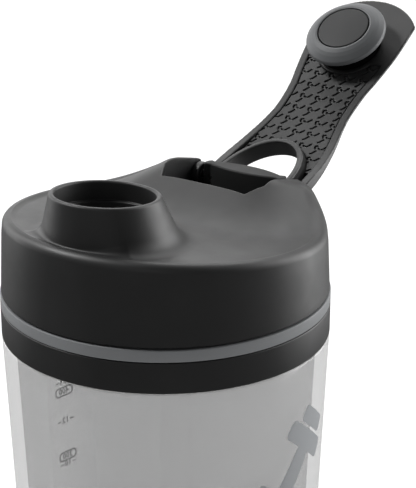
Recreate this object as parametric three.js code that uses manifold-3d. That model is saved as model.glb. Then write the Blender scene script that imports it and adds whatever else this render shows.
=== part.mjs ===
// Protein shaker bottle: tapered cup, screw lid with a round spout, and a flip-up cap arm.
// Millimetres, +Z up. The origin is the centre of the base. The spout faces -Y and the hinge is at +Y.
// The cap arm is modelled standing open, which is its rest position.

import * as THREE from 'three';
import Module from 'manifold-3d';
import { mergeVertices } from 'three/addons/utils/BufferGeometryUtils.js';

const wasm = await Module();
wasm.setup();

// ---------- driving dimensions ----------

const GAP = 0.3;
const ROUND = 48;
const LID_SECTIONS = 56;
const PLUG_ROUND = 40;

// cup
const RIM_HEIGHT = 140;
const CUP_TOP_RADIUS = 43.25;
const CUP_TOP = 128.1;
const CUP_TAPER = 0.0377;
const CUP_WALL = 3.4;
const FLOOR_HEIGHT = 4;
const FLOOR_FILLET = 7;
const CUP_MIDDLE = 65;
const NECK_START = 124;
const NECK_FLUSH = 133;
const HEEL_FILLET = 4;
const BASE_PAD_RADIUS = 32;
const BASE_PAD_HEIGHT = 2;
const BASE_PAD_PROUD = 0.8;

// neck, thread and seal
const NECK_INNER = 36.4;
const NECK_OUTER = 38.4;
const NECK_TOP = 147.4;
const THREAD_STARTS = 2;
const THREAD_LEAD = 8;
const THREAD_HEIGHT = 1.1;
const THREAD_ROOT_WIDTH = 1.5;
const THREAD_CREST_WIDTH = 0.8;
const THREAD_BOTTOM = 140.9;
const THREAD_TURN = 225;
const THREAD_ROOT_SINK = 0.3;
const THREAD_STEP = 9;
const THREAD_CLEARANCE = 0.4;
const LINER_BOTTOM = 140.6;
const GASKET_HEIGHT = 1.5;

// rings under the lid
const COLLAR_HEIGHT = 8.1;
const ACCENT_HEIGHT = 3.2;
const BAND_RADIUS = 43.3;

// lid shell
const LID_BOTTOM = RIM_HEIGHT + 0.15;
const LID_RADIUS = 43;
const LID_TAPER = 0.05;
const LID_WALL_INNER = 41.5;
const SHELF_HEIGHT = 151.2;
const SHELF_INNER = 39;
const ROOF_THICKNESS = 2.4;
const FILLING_DEPTH = ROOF_THICKNESS / 2;
const EDGE_HEIGHT = 17.87;
const EDGE_SLOPE = -0.105;
const LIP_FILLET = 2.4;
const LIP_DEPTH = 0.9;
const LIP_RADIUS = 41;
const LIP_WIDTH = 3;
const LIP_LEVEL = RIM_HEIGHT + 20;
const ABOVE_LID = RIM_HEIGHT + 40;
const HUMP_HEIGHT = 23.3;
const HUMP_REACH = 1.07;
const HUMP_EASE = 0.16;
const HUMP_POWER = 1.25;
const HUMP_Y = 40;
const HUMP_HALF_X = 34;
const HUMP_HALF_Y = 36;
const DOME_HEIGHT = 21.5;
const DOME_SLOPE = 0.3;
const DOME_RADIUS = 41.9;
const DOME_BLEND = 0.9;

// spout
const SPOUT_Y = -23.9;
const SPOUT_RIM_HEIGHT = 31.15;
const SPOUT_RIM_TILT = -0.082;
const SPOUT_OUTER = 14;
const SPOUT_BORE = 12.55;
const SPOUT_LEDGE_BORE = 11.7;
const SPOUT_LEDGE_DEPTH = 5.1;
const SPOUT_DRAFT = 0.335;
const SPOUT_LEAN = 0.18;
const SPOUT_FOOT_SHARE = 0.4;
const SPOUT_FILLET = 4;
const SPOUT_FILLET_SHARE = 0.85;
const SPOUT_EDGE = 0.5;

// hinge
const HINGE_Y = 36.3;
const HINGE_Z = RIM_HEIGHT + 18;
const OPEN_DIRECTION = Math.atan2(0.583, 0.812);
const PIN_RADIUS = 1.1;
const PIN_BORE = 1.4;
const PIN_HALF_LENGTH = 15.7;
const BORE_HALF_LENGTH = 30;
const PIN_ROUND = 16;
const SLOT_FLOOR = 152.9;
const SLOT_HALF_WIDTH = 16.3;
const POCKET_WALL = 2;
const SLOT_BACK_Y = 60;
const NOTCH_FRONT_HALF_WIDTH = 13.6;
const NOTCH_FRONT_Y = 16.4;
const NOTCH_CREST_Y = 21.5;
const BLOCK_HALF_LENGTH = 13.3;
const BLOCK_END_RADIUS = 1.75;
const BLOCK_CHORD_EXTRA = 0.6;
const BLOCK_FRONT_BULGE = 3;
const BLOCK_BACK_BULGE = 3.6;
const BLOCK_TOP = RIM_HEIGHT + 21.9;
const ARM_KNUCKLE_RADIUS = 3.3;
const ARM_KNUCKLE_INNER = 13.7;
const ARM_KNUCKLE_OUTER = 15.9;
const BLOCK_SWEEP = [[0, 6.65], [4, 6.35], [8, 5.6], [10.3, 4.95], [12, 4.6], [ARM_KNUCKLE_INNER, 4.5]];

// cap arm, in its own frame: u runs from the hinge to the tip, v is away from the plug
const PLUG_U = 60.9;
const ARM_FACE_V = 10.1;
const ARM_TIP_U = 80.5;
const ARM_CORNER_U = 72.4;
const ARM_CORNER_HALF_WIDTH = 15.9;
const ARM_RISE = 8;
const ARM_RISE_LENGTH = 19;
const ARM_RISE_POWER = 1.6;
const ARM_EDGE = 0.3;
const FINE_EDGE = 0.01;
const LOOP_CENTRE_U = 4;
const LOOP_HALF_WIDTH = 10.3;
const LOOP_LENGTH = 15.7;
const LOOP_RIM = 1.7;
const LOOP_FOOT_U = -12;
const CUT_BELOW = -20;
const CUT_ABOVE = 40;
const LOOP_RIM_PROUD = 1.8;
const GRIP_DEPTH = 1.2;
const GRIP_MARGIN = 2.4;
const GRIP_END_U = 52;

// plug
const SEAL_RADIUS = 12.05;
const SEAL_BORE = 5.3;
const SEAL_V = 3.55;
const SEAL_BACK = 1.6;
// The seal's flared face, as [radius, height over the disc's face].
const SEAL_FLARE = [[9.6, 0.5], [10.5, 1.3]];
const STEM_RADIUS = 9.3;
const SPIGOT_RADIUS = 5;
const DISC_RADIUS = 7.65;
const DISC_V = 1.3;
const DISC_THICKNESS = 1.2;

// mixing ball
const BALL_RADIUS = 25;
const WIRE_RADIUS = 1.1;
const BALL_TURNS = 7;
const BALL_POLE_ANGLE = 6;

// ---------- helpers ----------

const degrees = (angle) => (angle * Math.PI) / 180;

function material(color, roughness, metalness = 0) {
  return new THREE.MeshStandardMaterial({ color, roughness, metalness });
}

// A closed solid from rings of points.
// closed joins the last ring to the first; otherwise the ends are capped.
function loft(rings, closed = false) {
  const count = rings[0].length;
  const positions = rings.flat().flatMap((p) => [p.x, p.y, p.z]);
  const index = [];
  const last = closed ? rings.length : rings.length - 1;
  for (let i = 0; i < last; i++) {
    const next = (i + 1) % rings.length;
    for (let j = 0; j < count; j++) {
      const a = i * count + j;
      const b = i * count + ((j + 1) % count);
      const c = next * count + j;
      const d = next * count + ((j + 1) % count);
      index.push(a, b, d, a, d, c);
    }
  }
  if (!closed) {
    const end = (rings.length - 1) * count;
    for (let j = 1; j < count - 1; j++) {
      index.push(0, j + 1, j);
      index.push(end, end + j, end + j + 1);
    }
  }
  const geometry = new THREE.BufferGeometry();
  geometry.setAttribute('position', new THREE.Float32BufferAttribute(positions, 3));
  geometry.setIndex(index);
  return signedVolume(geometry) < 0 ? flipped(geometry) : geometry;
}

function signedVolume(geometry) {
  const position = geometry.getAttribute('position');
  const index = geometry.getIndex().array;
  const [a, b, c] = [new THREE.Vector3(), new THREE.Vector3(), new THREE.Vector3()];
  let volume = 0;
  for (let i = 0; i < index.length; i += 3) {
    a.fromBufferAttribute(position, index[i]);
    b.fromBufferAttribute(position, index[i + 1]);
    c.fromBufferAttribute(position, index[i + 2]);
    volume += a.dot(b.cross(c)) / 6;
  }
  return volume;
}

function flipped(geometry) {
  const index = Array.from(geometry.getIndex().array);
  for (let i = 0; i < index.length; i += 3) {
    [index[i + 1], index[i + 2]] = [index[i + 2], index[i + 1]];
  }
  geometry.setIndex(index);
  return geometry;
}

function solid(geometry) {
  const bare = geometry.clone();
  bare.deleteAttribute('normal');
  bare.deleteAttribute('uv');
  const merged = mergeVertices(bare, 1e-4);
  const mesh = new wasm.Mesh({
    numProp: 3,
    vertProperties: new Float32Array(merged.getAttribute('position').array),
    triVerts: new Uint32Array(merged.getIndex().array),
  });
  return new wasm.Manifold(mesh);
}

function geometryOf(manifold) {
  const mesh = manifold.getMesh();
  const geometry = new THREE.BufferGeometry();
  geometry.setAttribute('position', new THREE.Float32BufferAttribute(mesh.vertProperties, 3));
  geometry.setIndex(Array.from(mesh.triVerts));
  return geometry;
}

// A solid of revolution about Z from [radius, height] points. A ring's outline closes on itself.
function turned(points, segments = ROUND) {
  const onAxis = points[0][0] === 0;
  const outline = onAxis ? points : [...points, points[0]];
  const lathe = new THREE.LatheGeometry(outline.map(([r, z]) => new THREE.Vector2(r, z)), segments);
  lathe.rotateX(Math.PI / 2);
  lathe.deleteAttribute('normal');
  lathe.deleteAttribute('uv');
  const merged = mergeVertices(lathe, 1e-4);
  merged.setIndex(withoutSlivers(Array.from(merged.getIndex().array)));
  return signedVolume(merged) < 0 ? flipped(merged) : merged;
}

function withoutSlivers(index) {
  const kept = [];
  for (let i = 0; i < index.length; i += 3) {
    const [a, b, c] = index.slice(i, i + 3);
    if (a !== b && b !== c && a !== c) kept.push(a, b, c);
  }
  return kept;
}

// Points of an arc from one angle to the other, in degrees, both ends included.
function arc(centreX, centreY, radius, from, to, steps) {
  const points = [];
  for (let i = 0; i <= steps; i++) {
    const angle = degrees(from + ((to - from) * i) / steps);
    points.push([centreX + radius * Math.cos(angle), centreY + radius * Math.sin(angle)]);
  }
  return points;
}

// An upright prism from an outline in X and Y.
function prism(outline, bottom, top) {
  const shape = new THREE.Shape(outline.map(([x, y]) => new THREE.Vector2(x, y)));
  const geometry = new THREE.ExtrudeGeometry(shape, { depth: top - bottom, bevelEnabled: false });
  return geometry.translate(0, 0, bottom);
}

// A cylinder along X, centred on the hinge axis.
function hingeRod(radius, fromX, toX, segments) {
  const rod = new THREE.CylinderGeometry(radius, radius, toX - fromX, segments);
  rod.rotateZ(Math.PI / 2);
  return rod.translate((fromX + toX) / 2, HINGE_Y, HINGE_Z);
}

// ---------- cup ----------

const cupRadius = (z) => CUP_TOP_RADIUS - CUP_TAPER * (CUP_TOP - z);

function threadRidge(rootRadius, crestRadius, bottom, startAngle) {
  const steps = Math.round(THREAD_TURN / THREAD_STEP);
  const rings = [];
  for (let i = 0; i <= steps; i++) {
    const angle = startAngle + i * THREAD_STEP;
    const z = bottom + (THREAD_LEAD * i * THREAD_STEP) / 360;
    const fade = Math.min(1, 0.25 + Math.min(i, steps - i) / 4);
    const crest = rootRadius + (crestRadius - rootRadius) * fade;
    const sink = rootRadius - Math.sign(crestRadius - rootRadius) * THREAD_ROOT_SINK;
    const place = (r, dz) => new THREE.Vector3(
      r * Math.cos(degrees(angle)), r * Math.sin(degrees(angle)), z + dz);
    rings.push([
      place(sink, -THREAD_ROOT_WIDTH / 2),
      place(crest, -THREAD_CREST_WIDTH / 2),
      place(crest, THREAD_CREST_WIDTH / 2),
      place(sink, THREAD_ROOT_WIDTH / 2),
    ]);
  }
  return loft(rings);
}

function cupGeometry() {
  const bottom = BASE_PAD_PROUD;
  const innerFloorRadius = cupRadius(FLOOR_HEIGHT) - CUP_WALL;
  const padPocket = BASE_PAD_RADIUS + GAP;
  const outline = [
    [0, BASE_PAD_HEIGHT + GAP],
    [padPocket, BASE_PAD_HEIGHT + GAP],
    [padPocket, bottom],
    ...arc(cupRadius(HEEL_FILLET) - HEEL_FILLET, bottom + HEEL_FILLET, HEEL_FILLET, -90, 0, 5),
    [cupRadius(CUP_MIDDLE), CUP_MIDDLE],
    [CUP_TOP_RADIUS, CUP_TOP],
    [NECK_OUTER, CUP_TOP],
    [NECK_OUTER, NECK_TOP - 0.6],
    [NECK_OUTER - 0.6, NECK_TOP],
    [NECK_INNER + 0.4, NECK_TOP],
    [NECK_INNER, NECK_TOP - 0.4],
    [NECK_INNER, NECK_FLUSH],
    [cupRadius(NECK_START) - CUP_WALL, NECK_START],
    [cupRadius(CUP_MIDDLE) - CUP_WALL, CUP_MIDDLE],
    ...arc(innerFloorRadius - FLOOR_FILLET, FLOOR_HEIGHT + FLOOR_FILLET, FLOOR_FILLET, 0, -90, 6),
    [0, FLOOR_HEIGHT],
  ];
  let cup = solid(turned(outline));
  for (let start = 0; start < THREAD_STARTS; start++) {
    const angle = (360 / THREAD_STARTS) * start;
    const ridge = threadRidge(NECK_OUTER, NECK_OUTER + THREAD_HEIGHT, THREAD_BOTTOM, angle);
    cup = cup.add(solid(ridge));
  }
  return geometryOf(cup);
}

function bandGeometry(bottom, height) {
  const inner = NECK_OUTER + GAP;
  return turned([
    [inner, bottom],
    [BAND_RADIUS, bottom],
    [BAND_RADIUS, bottom + height],
    [inner, bottom + height],
  ]);
}

function basePadGeometry() {
  return turned([
    [0, 0],
    [BASE_PAD_RADIUS - 0.5, 0],
    [BASE_PAD_RADIUS, 0.5],
    [BASE_PAD_RADIUS, BASE_PAD_HEIGHT],
    [0, BASE_PAD_HEIGHT],
  ]);
}

// One springy wire wound into a ball, from pole to pole.
function mixingBallGeometry() {
  class BallSpiral extends THREE.Curve {
    getPoint(t, target = new THREE.Vector3()) {
      const polar = degrees(BALL_POLE_ANGLE + (180 - 2 * BALL_POLE_ANGLE) * t);
      const turn = 2 * Math.PI * BALL_TURNS * t;
      const radius = BALL_RADIUS - WIRE_RADIUS;
      return target.set(
        radius * Math.sin(polar) * Math.cos(turn),
        radius * Math.sin(polar) * Math.sin(turn),
        -radius * Math.cos(polar));
    }
  }
  const corners = arc(0, 0, WIRE_RADIUS, 0, 300, 5).map(([x, y]) => new THREE.Vector2(x, y));
  const section = new THREE.Shape(corners);
  const wire = new THREE.ExtrudeGeometry(section, {
    steps: BALL_TURNS * 15, bevelEnabled: false, extrudePath: new BallSpiral(),
  });
  return wire.translate(0, 0, FLOOR_HEIGHT + GAP + BALL_RADIUS);
}

// ---------- lid ----------

const lidWallRadius = (z) => LID_RADIUS - LID_TAPER * (z - RIM_HEIGHT);
const edgeHeight = (y) => EDGE_HEIGHT + EDGE_SLOPE * y;
const spoutRimHeight = (y) => SPOUT_RIM_HEIGHT + SPOUT_RIM_TILT * (y - SPOUT_Y);

// Height of the lid's top above its lower edge: a shallow dish with a raised hump round the hinge.
function lidTop(x, y) {
  const reach = ((Math.abs(x) / HUMP_HALF_X) ** 4 + (Math.abs(y - HUMP_Y) / HUMP_HALF_Y) ** 4) ** 0.25;
  const inward = HUMP_REACH - reach;
  const eased = (inward + Math.hypot(inward, HUMP_EASE)) / 2;
  const hump = HUMP_HEIGHT * eased ** HUMP_POWER;
  const radius = Math.hypot(x, y);
  const dish = LIP_DEPTH * Math.min(1, Math.max(0, (LIP_RADIUS - radius) / LIP_WIDTH));
  const dome = DOME_HEIGHT + DOME_SLOPE * (DOME_RADIUS - radius);
  return blendedMin(edgeHeight(y) - dish + hump, dome, DOME_BLEND);
}

// The smaller of two heights, rounded over where they meet.
function blendedMin(a, b, reach) {
  const share = Math.max(reach - Math.abs(a - b), 0) / reach;
  return Math.min(a, b) - (share * share * reach) / 4;
}

// How far a ray from the spout's axis, in direction (dx, dy), travels to a circle round the bottle's axis.
function rayLength(dx, dy, radius) {
  const along = dy * SPOUT_Y;
  return -along + Math.sqrt(along * along - SPOUT_Y * SPOUT_Y + radius * radius);
}

// The lid's closed section along one ray from the spout's axis, as [distance, height].
function lidSection(dx, dy) {
  const at = (t) => [t * dx, SPOUT_Y + t * dy];
  const reach = (radius) => rayLength(dx, dy, radius);
  const base = (t) => RIM_HEIGHT + lidTop(...at(t));
  const rim = (t) => RIM_HEIGHT + spoutRimHeight(at(t)[1]);
  const lipInner = reach(lidWallRadius(LIP_LEVEL) - LIP_FILLET);
  const coneTop = rim(SPOUT_OUTER) - SPOUT_EDGE;
  const draft = (SPOUT_DRAFT + SPOUT_LEAN * dy) * (coneTop - base(SPOUT_OUTER));
  const foot = SPOUT_OUTER + Math.min(draft, SPOUT_FOOT_SHARE * (lipInner - SPOUT_OUTER));
  const footFillet = Math.min(SPOUT_FILLET, SPOUT_FILLET_SHARE * (lipInner - foot));
  const plateau = foot + footFillet;
  const share = footFillet / (coneTop - base(foot));
  const corner = new THREE.QuadraticBezierCurve(
    new THREE.Vector2(foot + (SPOUT_OUTER - foot) * share, base(foot) + footFillet),
    new THREE.Vector2(foot, base(foot)),
    new THREE.Vector2(plateau, base(plateau)));
  const footCurve = corner.getPoints(5).map((point) => [point.x, point.y]);
  const dish = [];
  const dishSteps = 7;
  for (let i = 1; i <= dishSteps; i++) {
    const t = plateau + ((lipInner - plateau) * i) / dishSteps;
    dish.push([t, base(t)]);
  }
  const lipTop = base(lipInner);
  const fillet = arc(0, 0, LIP_FILLET, 68, 0, 3).map(([x, z]) => {
    const radius = lidWallRadius(lipTop) - LIP_FILLET + x;
    return [reach(radius), lipTop - LIP_FILLET + z];
  });
  const roofStart = reach(SHELF_INNER - 0.6);
  const roof = (t) => base(t) - ROOF_THICKNESS;
  const underside = [];
  const undersideSteps = 6;
  for (let i = 0; i <= undersideSteps; i++) {
    const t = roofStart + ((SPOUT_OUTER - 1 - roofStart) * i) / undersideSteps;
    underside.push([t, roof(t)]);
  }
  return [
    [SPOUT_LEDGE_BORE, roof(SPOUT_LEDGE_BORE) - 1],
    [SPOUT_LEDGE_BORE, rim(SPOUT_LEDGE_BORE) - SPOUT_LEDGE_DEPTH],
    [SPOUT_BORE, rim(SPOUT_BORE) - SPOUT_LEDGE_DEPTH],
    [SPOUT_BORE, rim(SPOUT_BORE) - SPOUT_EDGE],
    [SPOUT_BORE + 0.45, rim(SPOUT_BORE)],
    [SPOUT_OUTER - SPOUT_EDGE, rim(SPOUT_OUTER)],
    [SPOUT_OUTER, coneTop],
    ...footCurve,
    ...dish,
    ...fillet,
    [reach(LID_RADIUS), LID_BOTTOM + 0.4],
    [reach(LID_RADIUS - 0.4), LID_BOTTOM],
    [reach(LID_WALL_INNER), LID_BOTTOM],
    [reach(LID_WALL_INNER), SHELF_HEIGHT],
    [reach(SHELF_INNER), SHELF_HEIGHT],
    [reach(SHELF_INNER), roof(roofStart) - 2],
    ...underside,
  ];
}

// The hinge slot's plan, grown by a margin. It runs out through the lid's back wall.
function slotOutline(margin) {
  const front = NOTCH_FRONT_HALF_WIDTH + margin;
  const side = SLOT_HALF_WIDTH + margin;
  return [
    [-front, NOTCH_FRONT_Y - margin],
    [front, NOTCH_FRONT_Y - margin],
    [side, NOTCH_CREST_Y],
    [side, SLOT_BACK_Y],
    [-side, SLOT_BACK_Y],
    [-side, NOTCH_CREST_Y],
  ];
}

// The filled outer form of the lid above a given height, used to trim the hinge pocket.
function lidFilling(bottom) {
  const rings = [];
  const shells = 9;
  for (let k = 1; k <= shells; k++) {
    const radius = ((lidWallRadius(LIP_LEVEL) - 1) * k) / shells;
    rings.push(radius);
  }
  const positions = [0, 0, RIM_HEIGHT + lidTop(0, 0) - FILLING_DEPTH];
  for (const radius of rings) {
    for (let j = 0; j < ROUND; j++) {
      const angle = (2 * Math.PI * j) / ROUND;
      const x = radius * Math.cos(angle);
      const y = radius * Math.sin(angle);
      positions.push(x, y, RIM_HEIGHT + lidTop(x, y) - FILLING_DEPTH);
    }
  }
  for (let j = 0; j < ROUND; j++) {
    const edge = 1 + (shells - 1) * ROUND + j;
    positions.push(positions[3 * edge], positions[3 * edge + 1], bottom);
  }
  positions.push(0, 0, bottom);
  const index = [];
  const bottomCentre = 1 + (shells + 1) * ROUND;
  for (let j = 0; j < ROUND; j++) {
    const next = (j + 1) % ROUND;
    index.push(0, 1 + j, 1 + next);
    for (let k = 0; k < shells; k++) {
      const a = 1 + k * ROUND + j;
      const b = 1 + k * ROUND + next;
      index.push(a, a + ROUND, b + ROUND, a, b + ROUND, b);
    }
    index.push(bottomCentre, 1 + shells * ROUND + next, 1 + shells * ROUND + j);
  }
  const geometry = new THREE.BufferGeometry();
  geometry.setAttribute('position', new THREE.Float32BufferAttribute(positions, 3));
  geometry.setIndex(index);
  return geometry;
}

function lidShellGeometry() {
  const sections = [];
  for (let i = 0; i < LID_SECTIONS; i++) {
    const angle = (2 * Math.PI * i) / LID_SECTIONS;
    const [dx, dy] = [Math.cos(angle), Math.sin(angle)];
    sections.push(lidSection(dx, dy).map(([t, z]) => new THREE.Vector3(t * dx, SPOUT_Y + t * dy, z)));
  }
  const pocket = solid(prism(slotOutline(POCKET_WALL), SHELF_HEIGHT, ABOVE_LID));
  const slot = solid(prism(slotOutline(0), SLOT_FLOOR, ABOVE_LID));
  const lid = solid(loft(sections, true))
    .add(pocket.intersect(solid(lidFilling(SHELF_HEIGHT))))
    .subtract(slot);
  return geometryOf(lid);
}

// Inner cap with the thread that grips the neck, under the lid's shelf.
function lidLinerGeometry() {
  const outer = LID_WALL_INNER - GAP;
  const inner = NECK_OUTER + THREAD_HEIGHT + THREAD_CLEARANCE;
  const flangeBottom = NECK_TOP + 2 * GAP + GASKET_HEIGHT;
  const flangeTop = SHELF_HEIGHT - GAP;
  let liner = solid(turned([
    [inner, LINER_BOTTOM],
    [outer, LINER_BOTTOM],
    [outer, flangeTop],
    [NECK_INNER - 0.4, flangeTop],
    [NECK_INNER - 0.4, flangeBottom],
    [inner, flangeBottom],
  ]));
  for (let start = 0; start < THREAD_STARTS; start++) {
    const angle = (360 / THREAD_STARTS) * start;
    const bottom = THREAD_BOTTOM + THREAD_LEAD / THREAD_STARTS / 2;
    const ridge = threadRidge(inner, inner - THREAD_HEIGHT, bottom, angle);
    liner = liner.add(solid(ridge));
  }
  return geometryOf(liner);
}

function gasketGeometry() {
  const bottom = NECK_TOP + GAP;
  return turned([
    [NECK_INNER, bottom],
    [NECK_OUTER, bottom],
    [NECK_OUTER, bottom + GASKET_HEIGHT],
    [NECK_INNER, bottom + GASKET_HEIGHT],
  ]);
}

// One side of the centre knuckle's plan: an arc through both ends that bulges outwards.
function blockArc(bulge, side) {
  const half = BLOCK_HALF_LENGTH + BLOCK_CHORD_EXTRA;
  const radius = (half ** 2 + bulge ** 2) / (2 * bulge);
  const sweep = (Math.asin((BLOCK_HALF_LENGTH - BLOCK_END_RADIUS) / radius) * 180) / Math.PI;
  return arc(0, HINGE_Y + side * (bulge - radius), radius, side * 90 - sweep, side * 90 + sweep, 16);
}

// Fixed centre knuckle, lens-shaped in plan with round ends, bored for the pin.
function hingeBlockGeometry() {
  const endX = BLOCK_HALF_LENGTH - BLOCK_END_RADIUS;
  const rightEnd = arc(endX, HINGE_Y, BLOCK_END_RADIUS, -45, 45, 4);
  const leftEnd = arc(-endX, HINGE_Y, BLOCK_END_RADIUS, 135, 225, 4);
  const front = blockArc(BLOCK_FRONT_BULGE, -1);
  const back = blockArc(BLOCK_BACK_BULGE, 1);
  const outline = [...front, ...rightEnd, ...back, ...leftEnd];
  const lens = solid(prism(outline, SLOT_FLOOR + GAP, BLOCK_TOP));
  const bore = solid(hingeRod(PIN_BORE, -BORE_HALF_LENGTH, BORE_HALF_LENGTH, PIN_ROUND));
  return geometryOf(lens.subtract(bore));
}

// ---------- cap arm ----------

// Height of the arm's plug side above the hinge axis: it climbs quickly to clear the lid's hump.
function armUnderside(u) {
  const run = Math.max(u, 0) / ARM_RISE_LENGTH;
  return ARM_FACE_V - ARM_RISE * Math.exp(-(run ** ARM_RISE_POWER));
}

// The arm's back is crowned, so it is thicker along its middle than at its edges.
const MIDDLE_THICKNESS = [[0, 4.5], [60, 4.5], [72, 3.6], [81, 1.6]];
const EDGE_THICKNESS = [[0, 3.6], [8, 3.2], [20, 1.6], [30, 0.8], [81, 0.7]];

function interpolated(table, at) {
  const next = table.findIndex(([u]) => u >= at);
  if (next <= 0) return table[next === 0 ? 0 : table.length - 1][1];
  const [[fromU, from], [toU, to]] = [table[next - 1], table[next]];
  return from + ((to - from) * (at - fromU)) / (toU - fromU);
}

const armSide = new THREE.SplineCurve([
  [-2, 15.9], [8, 15.9], [14, 15.6], [22, 14.5], [30, 13], [36, 12.3],
  [44, 12.7], [50, 13.8], [56, 14.8], [62, 15.5], [ARM_CORNER_U, ARM_CORNER_HALF_WIDTH],
].map(([u, halfWidth]) => new THREE.Vector2(u, halfWidth)));

// The tip is an arc that meets the arm's sides at two corners.
const TIP_RISE = ARM_TIP_U - ARM_CORNER_U;
const TIP_RADIUS = (ARM_CORNER_HALF_WIDTH ** 2 + TIP_RISE ** 2) / (2 * TIP_RISE);

function armHalfWidth(u) {
  if (u >= ARM_CORNER_U) return Math.sqrt(Math.max(0, TIP_RADIUS ** 2 - (u - ARM_TIP_U + TIP_RADIUS) ** 2));
  let [low, high] = [0, 1];
  for (let i = 0; i < 30; i++) {
    const middle = (low + high) / 2;
    if (armSide.getPoint(middle).x < u) low = middle;
    else high = middle;
  }
  return armSide.getPoint(low).y;
}

// A bent plate that follows the arm's curve.
// sides gives the half width, the low side and the crowned high side at a station.
function armPlate(stations, sides, edge) {
  const rings = stations.map((u) => {
    const { halfWidth, low, highEdge, highMiddle } = sides(u);
    const w = Math.max(halfWidth, 2 * edge);
    const crown = (share) => highEdge + (highMiddle - highEdge) * (1 - share * share);
    return [
      [-w + edge, low], [0, low], [w - edge, low], [w, low + edge],
      [w, highEdge - edge], [w - edge, highEdge], [w / 2, crown(0.5)], [0, crown(0)],
      [-w / 2, crown(0.5)], [-w + edge, highEdge], [-w, highEdge - edge], [-w, low + edge],
    ].map(([x, offset]) => new THREE.Vector3(x, u, armUnderside(u) + offset));
  });
  return loft(rings);
}

function stationsBetween(from, to, step) {
  const count = Math.ceil((to - from) / step);
  return Array.from({ length: count + 1 }, (_, i) => from + ((to - from) * i) / count);
}

// An upright prism in the arm's frame with the loop's arched outline, grown by a margin.
function loopCutter(margin) {
  const arch = [];
  for (let i = 0; i <= 24; i++) {
    const angle = (Math.PI * i) / 24;
    arch.push([
      (LOOP_HALF_WIDTH + margin) * Math.cos(angle),
      LOOP_CENTRE_U + (LOOP_LENGTH + margin) * Math.sin(angle),
    ]);
  }
  const side = LOOP_HALF_WIDTH + margin;
  const outline = [...arch, [-side, LOOP_FOOT_U], [side, LOOP_FOOT_U]];
  return solid(prism(outline, CUT_BELOW, CUT_ABOVE));
}

function armRod(radius, fromX, toX, segments) {
  const rod = new THREE.CylinderGeometry(radius, radius, toX - fromX, segments);
  rod.rotateZ(Math.PI / 2);
  return solid(rod.translate((fromX + toX) / 2, 0, 0));
}

function armGeometry() {
  const tip = [0.35, 0.6, 0.78, 0.9, 0.97].map((share) => ARM_CORNER_U + TIP_RISE * share);
  const stations = [...stationsBetween(0, ARM_CORNER_U, 3), ...tip];
  const plate = solid(armPlate(stations, (u) => ({
    halfWidth: armHalfWidth(u),
    low: 0,
    highEdge: interpolated(EDGE_THICKNESS, u),
    highMiddle: interpolated(MIDDLE_THICKNESS, u),
  }), ARM_EDGE));
  const rimEnd = LOOP_CENTRE_U + LOOP_LENGTH + LOOP_RIM + 1;
  const rim = solid(armPlate(stationsBetween(0, rimEnd, 3), (u) => ({
    halfWidth: LOOP_HALF_WIDTH + 2 * LOOP_RIM,
    low: -LOOP_RIM_PROUD,
    highEdge: 1,
    highMiddle: 1,
  }), FINE_EDGE)).intersect(loopCutter(LOOP_RIM));
  const recess = solid(armPlate(stationsBetween(LOOP_CENTRE_U + 4, GRIP_END_U, 3), (u) => ({
    halfWidth: armHalfWidth(u) - GRIP_MARGIN,
    low: -3,
    highEdge: GRIP_DEPTH,
    highMiddle: GRIP_DEPTH,
  }), FINE_EDGE)).subtract(loopCutter(LOOP_RIM));
  const sweepSide = BLOCK_SWEEP.map(([x, radius]) => [radius, x]);
  const otherSide = BLOCK_SWEEP.slice(1).reverse().map(([x, radius]) => [radius, -x]);
  const sweep = [[0, -ARM_KNUCKLE_INNER], ...otherSide, ...sweepSide, [0, ARM_KNUCKLE_INNER]];
  const block = solid(turned(sweep, 40).rotateY(Math.PI / 2));
  const leftKnuckle = armRod(ARM_KNUCKLE_RADIUS, -ARM_KNUCKLE_OUTER, -ARM_KNUCKLE_INNER, 32);
  const rightKnuckle = armRod(ARM_KNUCKLE_RADIUS, ARM_KNUCKLE_INNER, ARM_KNUCKLE_OUTER, 32);
  const arm = plate
    .subtract(recess)
    .add(rim)
    .subtract(loopCutter(0))
    .subtract(block)
    .add(leftKnuckle)
    .add(rightKnuckle)
    .subtract(armRod(PIN_BORE, -BORE_HALF_LENGTH, BORE_HALF_LENGTH, PIN_ROUND));
  return geometryOf(arm);
}

// Textured pad let into the arm's plug side, with horns that run down both sides of the loop.
function gripGeometry() {
  const pad = solid(armPlate(stationsBetween(LOOP_CENTRE_U + 6, GRIP_END_U - GAP, 3), (u) => ({
    halfWidth: armHalfWidth(u) - GRIP_MARGIN - GAP,
    low: GAP,
    highEdge: GRIP_DEPTH - GAP,
    highMiddle: GRIP_DEPTH - GAP,
  }), FINE_EDGE));
  return geometryOf(pad.subtract(loopCutter(LOOP_RIM + GAP)));
}

// The plug's parts are turned about Z, then moved onto the arm.
function plugStemGeometry() {
  const top = armUnderside(PLUG_U) - GAP;
  const shoulder = SEAL_V + SEAL_BACK + GAP;
  return turned([
    [0, DISC_V + DISC_THICKNESS + GAP],
    [SPIGOT_RADIUS, DISC_V + DISC_THICKNESS + GAP],
    [SPIGOT_RADIUS, shoulder],
    [STEM_RADIUS, shoulder],
    [STEM_RADIUS, top],
    [0, top],
  ], PLUG_ROUND);
}

function plugSealGeometry() {
  const pocket = DISC_RADIUS + GAP;
  const pocketFloor = DISC_V + DISC_THICKNESS + GAP;
  return turned([
    [SEAL_BORE, pocketFloor],
    [pocket, pocketFloor],
    [pocket, DISC_V + 0.1],
    [pocket + 0.5, DISC_V],
    ...SEAL_FLARE.map(([radius, height]) => [radius, DISC_V + height]),
    [SEAL_RADIUS - 0.4, SEAL_V - 0.1],
    [SEAL_RADIUS, SEAL_V + 0.3],
    [SEAL_RADIUS, SEAL_V + SEAL_BACK - 0.5],
    [SEAL_RADIUS - 0.5, SEAL_V + SEAL_BACK],
    [SEAL_BORE, SEAL_V + SEAL_BACK],
  ], PLUG_ROUND);
}

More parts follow.
